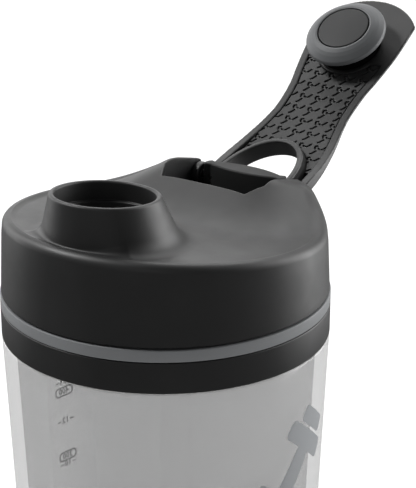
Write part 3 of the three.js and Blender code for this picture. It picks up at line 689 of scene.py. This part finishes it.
def slot_outline(offset, z):
    """The hinge slot's plan, grown by offset, with its mouth flared where it leaves the back wall."""
    wall = math.sqrt(lid_wall_radius(z) ** 2 - SLOT_HALF**2)
    side = SLOT_HALF + offset
    front_y = NOTCH_FRONT - offset
    run = np.hypot(SLOT_HALF - NOTCH_HALF, NOTCH_CREST - NOTCH_FRONT)
    front_x = NOTCH_HALF + offset * (run - (SLOT_HALF - NOTCH_HALF)) / (NOTCH_CREST - NOTCH_FRONT)
    crest_y = NOTCH_CREST - offset * (run - (NOTCH_CREST - NOTCH_FRONT)) / (SLOT_HALF - NOTCH_HALF)
    corner = rounded([(0, front_y), (front_x, front_y, SLOT_CORNER), (side, crest_y, SLOT_CORNER),
                      (side, SLOT_BACK)], 5)[1:-1]
    across = [(x, front_y) for x in np.linspace(0, front_x - 1.2, 14)]
    slope = [corner[5] + (corner[6] - corner[5]) * s for s in np.linspace(0, 1, 10)[1:-1]]
    right = across + [tuple(p) for p in [*corner[:6], *slope, *corner[6:]]]
    right += [(side, y) for y in np.linspace(corner[-1][1] + 0.8, wall - SLOT_MOUTH, 18)]
    right += [(side + SLOT_MOUTH * (1 - math.cos(a)), wall - SLOT_MOUTH + SLOT_MOUTH * math.sin(a))
              for a in np.radians([20, 40, 60, 80])]
    right += [(side + 1.5, wall + 2), (side + 1.5, SLOT_BACK)]
    left = [(-x, y) for x, y in right[:0:-1]]
    return np.array(right + left)


def slot_cutter():
    """The solid cut out of the lid for the hinge, widening in a rounded edge at the lid's top."""
    edge = SLOT_EDGE
    arc = [(edge - edge * math.cos(a), -edge + edge * math.sin(a))
           for a in np.radians([0, 18, 36, 54, 72, 88])]
    rings = []
    flat = slot_outline(0, SLOT_FLOOR)
    rings.append(np.column_stack([flat, np.full(len(flat), SLOT_FLOOR)]))
    for offset, rise in arc + [(edge + 0.25, 0.2), (edge + 0.25, 20)]:
        plan = slot_outline(offset, LIP_LEVEL)
        inside = plan * np.minimum(1, DOME_RADIUS / np.hypot(plan[:, 0], plan[:, 1]))[:, None]
        rings.append(np.column_stack([plan, lid_top(inside[:, 0], inside[:, 1]) + rise]))
    return loft(rings)


def pocket_block():
    """The walls and floor round the hinge slot, under the lid's top."""
    wall = POCKET_WALL
    corners = [(-NOTCH_HALF - wall, NOTCH_FRONT - wall), (NOTCH_HALF + wall, NOTCH_FRONT - wall),
               (SLOT_HALF + wall, NOTCH_CREST), (SLOT_HALF + wall, 36), (-SLOT_HALF - wall, 36),
               (-SLOT_HALF - wall, NOTCH_CREST)]
    plan = []
    for i, a in enumerate(corners):
        b = corners[(i + 1) % len(corners)]
        plan += [np.array(a) + (np.array(b) - np.array(a)) * s for s in np.arange(0, 1, 0.1)]
    plan = np.array(plan)
    top = lid_top(plan[:, 0], plan[:, 1]) - ROOF_THICKNESS / 2
    low = np.column_stack([plan, np.full(len(plan), SHELF_HEIGHT)])
    high = np.column_stack([plan, top])
    return loft([low, high])


def floor_block():
    """The slot's floor, out to just inside the lid's back wall."""
    radius = LID_WALL_INNER + 0.6
    side = SLOT_HALF + POCKET_WALL
    end = math.asin(side / radius)
    back = [(radius * math.sin(a), radius * math.cos(a)) for a in np.linspace(end, -end, 33)]
    plan = np.array([(-side, 30), (side, 30)] + back)
    low = np.column_stack([plan, np.full(len(plan), SHELF_HEIGHT)])
    high = np.column_stack([plan, np.full(len(plan), SLOT_FLOOR + 3)])
    return loft([low, high])


def make_lid():
    """The lid, with painted shade inside the spout and the hinge slot."""
    directions = 320
    rings = []
    for i in range(directions):
        angle = 2 * math.pi * i / directions
        dx, dy = math.cos(angle), math.sin(angle)
        section = lid_section(dx, dy)
        across, height = section.T
        rings.append(np.column_stack([across * dx, SPOUT_Y + across * dy, height]))
    mesh = loft(rings, close_rows=True)
    mesh = boolean(mesh, pocket_block(), "UNION")
    mesh = boolean(mesh, floor_block(), "UNION")
    mesh = boolean(mesh, slot_cutter(), "DIFFERENCE")
    centres = np.array([f.center for f in mesh.polygons])
    x, y, z = centres.T
    from_axis = np.hypot(x, y - SPOUT_Y)
    on_ledge = np.abs(z - spout_rim(y) + SPOUT_LEDGE_DEPTH) < 0.3
    on_ledge &= from_axis < SPOUT_LEDGE_BORE + 0.5
    in_bore = (from_axis < SPOUT_BORE + 0.15) & ~on_ledge
    in_slot = (np.abs(x) < SLOT_HALF + 0.3) & (y > NOTCH_FRONT - 0.3)
    in_slot &= (z < lid_top(x, y) - 1.2) & (z > SLOT_FLOOR - 0.1)
    # The spout's bore and the hinge slot's walls and floor get painted shade; the ledge's edge keeps
    # the lid's black.
    mesh.polygons.foreach_set("material_index", (in_bore | in_slot).astype(np.int32))
    piece("lid_cover", mesh, [BLACK, SHADE], "lid_body", "lid_shell", sharp=28)


# ---------------------------------------------------------------- hinge


def along_x(mesh):
    """Lays a solid turned about Z along the hinge axis."""
    mesh.transform(Matrix.Translation((0, HINGE_Y, HINGE_Z)) @ Matrix.Rotation(math.pi / 2, 4, "Y"))
    return mesh


def rod(radius, half_length, edge):
    """A round rod along the hinge axis, with rounded ends."""
    outline = [(0, -half_length), (radius, -half_length, edge), (radius, half_length, edge),
               (0, half_length)]
    return along_x(turned(rounded(outline, 3), 64))


def lens_plan(inset):
    """The centre knuckle's plan: two unlike arcs and two round ends."""
    end_x = BLOCK_HALF - BLOCK_END
    end_radius = BLOCK_END - inset
    chord = BLOCK_HALF + BLOCK_CHORD_EXTRA
    points = []
    for sign, bulge in ((1, BLOCK_BACK_BULGE), (-1, BLOCK_FRONT_BULGE)):
        radius = (chord**2 + bulge**2) / (2 * bulge)
        sweep = math.asin(end_x / radius)
        r = radius - inset
        for a in np.linspace(-sweep, sweep, 33):
            y = HINGE_Y + sign * (bulge - radius + r * math.cos(a))
            points.append((sign * r * math.sin(a), y))
        for a in np.radians([50, 30, 10, -10, -30, -50]):
            x = sign * (end_x + end_radius * math.cos(a))
            points.append((x, HINGE_Y + sign * end_radius * math.sin(a)))
    return np.array(points)


def make_hinge():
    """The fixed centre knuckle, bored for the pin, and the pin."""
    top, bottom, edge = BLOCK_TOP, SLOT_FLOOR + GAP, BLOCK_EDGE
    levels = [(0.2, bottom), (0, bottom + 0.2), (0, top - edge)]
    levels += [(edge - edge * math.cos(a), top - edge + edge * math.sin(a))
               for a in np.radians([20, 40, 60, 80])]
    levels += [(edge + 0.15, top)]
    rings = []
    for inset, z in levels:
        plan = lens_plan(inset)
        rings.append(np.column_stack([plan, np.full(len(plan), z)]))
    mesh = boolean(loft(rings), rod(PIN_BORE, 20, 0.1), "DIFFERENCE")
    # The knuckle's sides and pin bore, below its top edge, get painted shade.
    low = np.array([f.center.z < BLOCK_TOP - 0.6 for f in mesh.polygons], np.int32)
    mesh.polygons.foreach_set("material_index", low)
    piece("hinge_knuckle", mesh, [BLOCK, SHADE], "lid_body", "hinge_block", sharp=40)
    piece("pivot_pin", rod(PIN_RADIUS, PIN_HALF, 0.25), PIN, "lid_body", "hinge_pin")


# ---------------------------------------------------------------- cap arm

ARM_SIDE = [(-2, 15.9), (8, 15.9), (14, 15.6), (22, 14.5), (30, 13), (36, 12.3), (44, 12.7), (50, 13.8),
            (56, 14.8), (62, 15.5), (CORNER_U, CORNER_HALF), (84, 15.9)]
MIDDLE_THICKNESS = [(0, 4.5), (60, 4.5), (72, 3.6), (81, 1.6)]
EDGE_THICKNESS = [(0, 3.6), (8, 3.2), (20, 1.6), (30, 0.8), (81, 0.7)]


def side_table():
    """Half widths of the arm from the hinge to the tip's centre, along a Catmull-Rom spline."""
    points = np.array([ARM_SIDE[0], *ARM_SIDE, ARM_SIDE[-1]], float)
    table = []
    for i in range(len(ARM_SIDE) - 1):
        a, b, c, d = points[i : i + 4]
        for t in np.linspace(0, 1, 40, endpoint=False):
            table.append(b + (c - a) / 2 * t + (2 * a - 5 * b + 4 * c - d) / 2 * t**2
                         + (3 * b - a - 3 * c + d) / 2 * t**3)
    return np.array([*table, ARM_SIDE[-1]])


SIDE = side_table()


def underside(u):
    """Height v of the arm's plug side, which climbs from the hinge to clear the lid's hump."""
    run = np.maximum(u, 0) / ARM_RISE_LENGTH
    return ARM_FACE - ARM_RISE * np.exp(-(run**ARM_RISE_POWER))


def arm_plan(x, u):
    """Distance to the arm's outline, negative inside."""
    half = np.interp(u, SIDE[:, 0], SIDE[:, 1])
    ahead = np.interp(u + 0.5, SIDE[:, 0], SIDE[:, 1])
    lean = ahead - np.interp(u - 0.5, SIDE[:, 0], SIDE[:, 1])
    side = (np.abs(x) - half) / np.sqrt(1 + lean**2)
    tip = np.hypot(x, u - TIP_U + TIP_RADIUS) - TIP_RADIUS
    tip = np.where(u > TIP_U - TIP_RADIUS, tip, -9)
    return round_and(side, tip, 0.3)


def arm_back(x, u):
    """Height of the arm's crowned back over its plug side."""
    share = np.abs(x) / np.interp(u, SIDE[:, 0], SIDE[:, 1])
    edge = np.interp(u, *zip(*EDGE_THICKNESS))
    middle = np.interp(u, *zip(*MIDDLE_THICKNESS))
    return edge + (middle - edge) * (1 - share**2)


def loop_plan(x, u):
    """Distance to the finger loop's arched edge, negative inside the hole."""
    along = np.maximum(u - LOOP_U, 0)
    k = np.hypot(x / LOOP_HALF, along / LOOP_LENGTH) + 1e-9
    slope = np.hypot(x / LOOP_HALF**2, along / LOOP_LENGTH**2) + 1e-9
    return np.where(u > LOOP_U, k * (k - 1) / slope, np.abs(x) - LOOP_HALF)


def recess_depth(u):
    """How far the grip's recess is sunk, deeper towards the hinge."""
    return 1.2 + 1.3 * (1 - smooth_step(u, 9, 27))


def grip_plan(x, u, gap):
    """Distance to the edge of the sunk grip area, negative inside, with a gap kept all round."""
    plan = np.maximum(arm_plan(x, u) + GRIP_MARGIN, LOOP_RIM - loop_plan(x, u))
    plan = np.maximum(plan, GRIP_LAND - np.hypot(x, u - PLUG_U))
    plan = np.maximum(plan, u - GRIP_END)
    return plan + gap


def arm_field(x, u, w):
    """Distance to the arm, where w is the height over its plug side."""
    v = w + underside(u)
    back = (w - arm_back(x, u)) * 0.9
    solid = round_and(arm_plan(x, u), np.maximum(-w, back), ARM_EDGE)
    solid = round_and(solid, -u, 0.3)
    recess = np.maximum(grip_plan(x, u, 0), w - recess_depth(u))
    recess = np.maximum(recess, RECESS_START - u)
    solid = round_and(solid, -recess, 0.3)
    loop = loop_plan(x, u)
    rim = round_and(loop - LOOP_RIM, np.maximum(-w - LOOP_RIM_PROUD, back), 0.45)
    solid = round_or(solid, np.maximum(rim, -u), 0.3)
    solid = round_and(solid, -loop, 0.55)
    around = np.hypot(u, v)
    sweep = np.maximum(around - np.interp(np.abs(x), *zip(*SWEEP)), np.abs(x) - KNUCKLE_INNER)
    solid = round_and(solid, -sweep, 0.3)
    middle = (KNUCKLE_INNER + KNUCKLE_OUTER) / 2
    across = np.abs(np.abs(x) - middle) - (KNUCKLE_OUTER - KNUCKLE_INNER) / 2
    solid = round_or(solid, round_and(around - KNUCKLE_RADIUS, across, 0.35), 0.4)
    return np.maximum(solid, PIN_BORE - around)


def to_open(points):
    """From the arm's own (x, u, v) to the row frame, with the arm standing open."""
    x, u, v = points.T
    y = HINGE_Y + u * math.cos(OPEN) + v * math.sin(OPEN)
    z = HINGE_Z + u * math.sin(OPEN) - v * math.cos(OPEN)
    return np.stack([x, y, z], 1)


def bent(points):
    """Lifts points from the straightened (x, u, w) onto the arm's curved underside."""
    points = points.copy()
    points[:, 2] += underside(points[:, 1])
    return to_open(points)


def make_arm():
    """The flip arm, with painted shade round the pin and on the wall outside the loop's rim."""
    points, faces = surface_net(arm_field, (-16.6, -4.2, -6.6), (16.6, 81.2, 5.4), (0.3, 0.3, 0.3))
    x, u, w = points[faces].mean(1).T
    near_pin = np.hypot(u, w + underside(u)) < 5
    outside_loop = np.abs(loop_plan(x, u) - LOOP_RIM - 0.1) < 0.45
    rim_wall = outside_loop & (w > -1.4) & (w < 2) & (grip_plan(x, u, 0) < 0.4)
    mesh = mesh_from(bent(points), faces)
    # Faces round the pin and on the wall outside the loop's rim get painted shade.
    mesh.polygons.foreach_set("material_index", (near_pin | rim_wall).astype(np.int32))
    cleaned(mesh, 1e-6)
    piece("flip_arm", mesh, [BLACK, SHADE], "arm_body", "cap_arm", sharp=50)


# One repeat of the grip's pressed pattern, as short bent grooves (x, u) from the repeat's corner.
GROOVES = [
    [(-1.28, 0.02), (-0.75, -0.30), (-0.16, -0.28), (0.35, 0.20), (0.85, 0.98)],
    [(2.35, -2.55), (2.85, -2.20), (3.53, -1.10)],
    [(2.95, -0.45), (2.5, 0.20), (2.55, 0.62), (3.2, 0.80)],
]
REPEAT_X, REPEAT_U = 5.08, 4.64
REPEAT_START = (-9.3, 45.0)


TABLE_X = 15
TABLE_START, TABLE_END = 8, 58
TABLE_STEP = 0.1


def groove_table():
    """Distances in plan to the nearest groove, on a grid over the grip."""
    x = np.arange(-TABLE_X, TABLE_X + 0.01, TABLE_STEP)
    u = np.arange(TABLE_START, TABLE_END + 0.01, TABLE_STEP)
    best = np.full((len(x), len(u)), 9.0)
    for i in range(-2, 5):
        for j in range(-8, 4):
            for line in GROOVES:
                for (ax, au), (bx, bu) in zip(line, line[1:]):
                    from_x = x[:, None] - (ax + REPEAT_START[0] + i * REPEAT_X)
                    from_u = u[None] - (au + REPEAT_START[1] + j * REPEAT_U)
                    d = np.array([bx - ax, bu - au])
                    t = np.clip((from_x * d[0] + from_u * d[1]) / (d @ d), 0, 1)
                    best = np.minimum(best, np.hypot(from_x - t * d[0], from_u - t * d[1]))
    return best


GROOVE_DISTANCE = groove_table()


def groove_distance(x, u):
    """Distance in plan to the nearest pressed groove, read between the points of a fine table."""
    i = np.clip((x + TABLE_X) / TABLE_STEP, 0, GROOVE_DISTANCE.shape[0] - 1.001)
    j = np.clip((u - TABLE_START) / TABLE_STEP, 0, GROOVE_DISTANCE.shape[1] - 1.001)
    i, j = np.broadcast_arrays(i, j)
    i0, j0 = i.astype(int), j.astype(int)
    fi, fj = i - i0, j - j0
    t = GROOVE_DISTANCE
    low = t[i0, j0] * (1 - fj) + t[i0, j0 + 1] * fj
    high = t[i0 + 1, j0] * (1 - fj) + t[i0 + 1, j0 + 1] * fj
    return low * (1 - fi) + high * fi


def grip_field(x, u, w):
    """Distance to the inlay, which lies in the arm's recess and has grooves pressed into it."""
    top = 0.14 + 1.3 * (1 - smooth_step(u, 11, 26))
    bottom = recess_depth(u) - GAP
    slab = np.abs(w - (top + bottom) / 2) - (bottom - top) / 2
    plan = np.maximum(grip_plan(x, u, GRIP_GAP), GRIP_START - u)
    solid = round_and(plan, slab, 0.2)
    groove = round_and(groove_distance(x, u) - GROOVE_HALF, w - (top + GROOVE_DEPTH), 0.1)
    return round_and(solid, -groove, 0.08)


def make_grip():
    points, faces = surface_net(grip_field, (-13.4, 11, 0), (13.4, 56.4, 2.4), (0.16, 0.16, 0.14))
    mesh = cleaned(mesh_from(bent(points), faces), 1e-6)
    piece("grip_inlay", mesh, GRIP, "arm_body", "grip_pad", sharp=60)


def on_plug(outline):
    """A solid turned about the plug's axis from (radius, v) corners, on the open arm."""
    mesh = turned(rounded(outline), 128)
    co = np.zeros(len(mesh.vertices) * 3)
    mesh.vertices.foreach_get("co", co)
    co = co.reshape(-1, 3)
    co[:, 1] += PLUG_U
    mesh.vertices.foreach_set("co", to_open(co).ravel())
    mesh.update()
    return cleaned(mesh, 1e-6)


def make_plug():
    """The two-step stem, the flared seal and the centre disc."""
    face = ARM_FACE - GAP
    stem = [(0, 2.8), (5, 2.8, 0.2), (5, 5.45), (9.3, 5.45, 0.4), (9.3, face, 0.3), (0, face)]
    # The stem is painted shade: a near-black with no gloss, where the seal and arm shade it.
    piece("plug_stub", on_plug(stem), SHADE, "arm_body", "plug_stem")
    seal = [(5.3, 2.8), (7.95, 2.8), (7.95, 1.35, 0.12), (8.5, 1.25, 0.35), (9.6, 1.7, 0.6),
            (10.6, 2.3, 1.0), (12.05, 3.5, 0.7), (12.05, 5.15, 0.6), (5.3, 5.15, 0.2)]
    piece("plug_gasket", on_plug(seal), SEAL, "arm_body", "plug_seal")
    disc = [(0, 1.3), (7.65, 1.3, 0.35), (7.65, 2.5, 0.2), (0, 2.5)]
    piece("plug_button", on_plug(disc), DISC, "arm_body", "plug_disc")


# ---------------------------------------------------------------- printed marks

# Thickness of the ink, and how far its inner side stands from the cup's outer face.
INK = 0.06
SCALE_LIFT = -0.07
EMBLEM_LIFT = 0.01


def printed(flat, faces, azimuth, height, lift=SCALE_LIFT):
    """Wraps a flat printed solid, as (right, up, depth 0 to 1), round the cup."""
    flat = np.asarray(flat, float)
    z = height + flat[:, 1]
    surface = cup_radius(z)
    angle = math.radians(azimuth) + flat[:, 0] / surface
    r = surface + lift + flat[:, 2] * INK
    return np.stack([r * np.cos(angle), r * np.sin(angle), z], 1), faces


def bar(length, width, radius, centre=(0, 0), tilt=0.0):
    """A flat rounded bar, cut fine enough to bend round the cup."""
    half, wide = length / 2, width / 2
    ends = [half - radius + radius * math.cos(a) for a in np.radians([0, 22, 45, 67, 90])]
    inner = np.linspace(half - radius, -(half - radius), max(3, int(length / 0.8)))[1:-1]
    xs = np.array(ends + list(inner) + [-e for e in ends[::-1]])
    over = np.maximum(np.abs(xs) - (half - radius), 0)
    reach = wide - radius + np.sqrt(np.maximum(radius**2 - over**2, 0))
    cross = np.linspace(-1, 1, 9)
    rows = []
    for x, h in zip(xs, reach):
        top = [(x, h * c, 1) for c in cross]
        low = [(x, h * c, 0) for c in cross[::-1]]
        rows.append(top + low)
    flat = np.array(rows)
    c, s = math.cos(tilt), math.sin(tilt)
    px, py = flat[..., 0].copy(), flat[..., 1].copy()
    flat[..., 0] = centre[0] + c * px - s * py
    flat[..., 1] = centre[1] + s * px + c * py
    count = flat.shape[1]
    faces = grid_faces(len(rows), count).tolist()
    faces += [list(range(count))[::-1], [(len(rows) - 1) * count + i for i in range(count)]]
    return flat.reshape(-1, 3), faces


def frame_ring(length, width, radius, line):
    """The outline of a rounded box, as a flat ring."""
    half, wide = length / 2, width / 2
    box = [(half, wide), (-half, wide), (-half, -wide), (half, -wide)]
    outside = rounded([(*p, radius) for p in box], 8)
    shrink = [(math.copysign(abs(x) - line, x), math.copysign(abs(y) - line, y)) for x, y in box]
    inside = rounded([(*p, max(radius - line, 0.1)) for p in shrink], 8)

    def finer(loop):
        ends = zip(loop, np.roll(loop, -1, 0))
        return np.concatenate([np.linspace(a, b, 6, endpoint=False) for a, b in ends])

    outside, inside = finer(outside), finer(inside)
    levels = ((outside, 0), (outside, 1), (inside, 1), (inside, 0))
    rows = [np.column_stack([loop, np.full(len(loop), float(depth))]) for loop, depth in levels]
    rows = np.stack(rows, 1)
    return rows.reshape(-1, 3), grid_faces(len(rows), 4, close_rows=True)


def digits(text, size):
    """The flat solid of a number, with a depth of 0 to 1, from Blender's built-in font."""
    curve = bpy.data.curves.new("digits", "FONT")
    curve.body = text
    curve.size = size
    curve.extrude = 0.5
    curve.offset = 0.06
    curve.align_x = "CENTER"
    curve.align_y = "CENTER"
    curve.resolution_u = 5
    curve.space_character = 1.08
    obj = bpy.data.objects.new("digits", curve)
    bpy.context.scene.collection.objects.link(obj)
    graph = bpy.context.evaluated_depsgraph_get()
    mesh = bpy.data.meshes.new_from_object(obj.evaluated_get(graph))
    points = np.array([v.co for v in mesh.vertices])
    faces = [list(p.vertices) for p in mesh.polygons]
    bpy.data.objects.remove(obj)
    bpy.data.curves.remove(curve)
    points[:, 2] += 0.5
    return points, faces


def joined(parts):
    """One mesh from several (points, faces) pairs."""
    points, faces, start = [], [], 0
    for p, f in parts:
        points.append(p)
        faces += [[start + int(i) for i in face] for face in f]
        start += len(p)
    return cleaned(mesh_from(np.concatenate(points), faces), 1e-6)


SCALE_AZIMUTH = 172.9
OUNCES = [("14", 97.65), ("12", 85.5), ("10", 71.7), ("8", 58.2), ("6", 44.5), ("4", 30.3)]
MILLILITRES = [("400", 94.65), ("300", 74.2), ("200", 49.8), ("100", 25.9)]
EMBLEM_AZIMUTH = -2.5
EMBLEM_Z = 98
EMBLEM_TILT = math.radians(52)


def make_prints():
    """The capacity scale, and a dumbbell."""
    parts = []
    for text, z in OUNCES:
        parts.append(printed(*digits(text, 2.5), SCALE_AZIMUTH, z))
        for side in (-1, 1):
            parts.append(printed(*bar(1.3, 0.36, 0.12, (side * 2.35, 0)), SCALE_AZIMUTH, z))
    for text, z in MILLILITRES:
        parts.append(printed(*digits(text, 2.4), SCALE_AZIMUTH, z))
        parts.append(printed(*frame_ring(6.8, 3.1, 1.3, 0.5), SCALE_AZIMUTH, z))
    piece("scale_print", joined(parts), PRINT, "cup_body", sharp=40)
    along = np.array([math.cos(EMBLEM_TILT), math.sin(EMBLEM_TILT)])
    shapes = [bar(13, 6, 0.5, (0, 0), EMBLEM_TILT)]
    for distance, length, width in ((9.2, 20, 5.4), (15.0, 13, 4.6)):
        for sign in (-1, 1):
            centre = tuple(along * distance * sign)
            shapes.append(bar(length, width, 1.4, centre, EMBLEM_TILT + math.pi / 2))
    parts = [printed(*shape, EMBLEM_AZIMUTH, EMBLEM_Z, EMBLEM_LIFT) for shape in shapes]
    piece("emblem_print", joined(parts), EMBLEM, "cup_body", sharp=40)


# ---------------------------------------------------------------- stage

FLOOR_HALF = 4
FLOOR_GLOW = 0.93
STUDIO_LIGHT = 0.08
CAMERA_PLACE = (0.2337, -0.3042, 0.2933)
CAMERA_RIGHT = (0.8103, 0.5860, 0.0)
CAMERA_AHEAD = (-0.5493, 0.7596, -0.3483)
CAMERA_LENS = 115.87


def area_light(name, place, target, size, energy):
    light = bpy.data.lights.new(name, "AREA")
    light.shape = "RECTANGLE"
    light.size, light.size_y = size
    light.energy = energy
    obj = bpy.data.objects.new(name, light)
    obj.location = place
    obj.rotation_mode = "QUATERNION"
    obj.rotation_quaternion = (Vector(target) - Vector(place)).to_track_quat("-Z", "Y")
    bpy.context.scene.collection.objects.link(obj)


def make_stage():
    """A pale glowing floor, and a world that is white to the camera and dim to the bottle."""
    mesh = bpy.data.meshes.new("floor")
    half = FLOOR_HALF
    corners = [(-half, -half, 0), (half, -half, 0), (half, half, 0), (-half, half, 0)]
    mesh.from_pydata(corners, [], [(0, 1, 2, 3)])
    floor = bpy.data.objects.new("floor", mesh)
    bpy.context.scene.collection.objects.link(floor)
    floor.visible_glossy = False
    material, tree, shader, where = new_material("floor_pale")
    tone = two_tone(tree, noise(tree, where, 3, 2), grey(0.13), grey(0.15))
    tree.links.new(tone, shader.inputs["Base Color"])
    shader.inputs["Roughness"].default_value = 0.9
    shader.inputs["Emission Color"].default_value = (1, 1, 1, 1)
    shader.inputs["Emission Strength"].default_value = FLOOR_GLOW
    mesh.materials.append(material)

    world = bpy.data.worlds.new("studio")
    bpy.context.scene.world = world
    world.use_nodes = True
    tree = world.node_tree
    background = tree.nodes["Background"]
    path = tree.nodes.new("ShaderNodeLightPath")
    level = tree.nodes.new("ShaderNodeMapRange")
    level.inputs["To Min"].default_value = STUDIO_LIGHT
    level.inputs["To Max"].default_value = 1.0
    tree.links.new(path.outputs["Is Camera Ray"], level.inputs["Value"])
    tree.links.new(level.outputs["Result"], background.inputs["Strength"])
    background.inputs["Color"].default_value = (1, 1, 1, 1)


def make_lights():
    """Directions are given round the bottle from the camera's side: right is positive."""
    camera = math.atan2(CAMERA_PLACE[1], CAMERA_PLACE[0])

    def place(turn, distance, height):
        a = camera + math.radians(turn)
        return (distance * math.cos(a), distance * math.sin(a), height)

    target = (0, 0, 0.14)
    area_light("top_soft", (-0.35, 0.7, 1.0), target, (1.0, 0.6), 7)
    area_light("key", place(-105, 0.75, 1.05), target, (0.25, 0.25), 10)
    area_light("back_soft", place(-165, 1.3, 0.40), target, (1.6, 0.5), 5)
    area_light("right_soft", place(111, 0.8, 0.31), target, (0.6, 0.9), 10)
    area_light("left_soft", place(-125, 0.9, 0.3), target, (0.5, 0.8), 3)
    area_light("front_fill", place(-12, 1.4, 0.6), target, (0.8, 0.8), 1.2)


def make_camera():
    data = bpy.data.cameras.new("camera")
    data.sensor_width = 36
    data.lens = CAMERA_LENS
    data.clip_start, data.clip_end = 0.01, 20
    camera = bpy.data.objects.new("camera", data)
    right = Vector(CAMERA_RIGHT)
    ahead = Vector(CAMERA_AHEAD)
    up = right.cross(ahead).normalized()
    turn = Matrix((right.normalized(), up, -ahead.normalized())).transposed()
    camera.matrix_world = Matrix.Translation(CAMERA_PLACE) @ turn.to_4x4()
    bpy.context.scene.collection.objects.link(camera)
    bpy.context.scene.camera = camera
    bpy.context.scene.view_settings.view_transform = "Standard"


make_camera()
make_stage()
make_lights()
make_cup()
make_bands()
make_foot()
make_gasket_and_liner()
make_ball()
make_lid()
make_hinge()
make_arm()
make_grip()
make_plug()
make_prints()
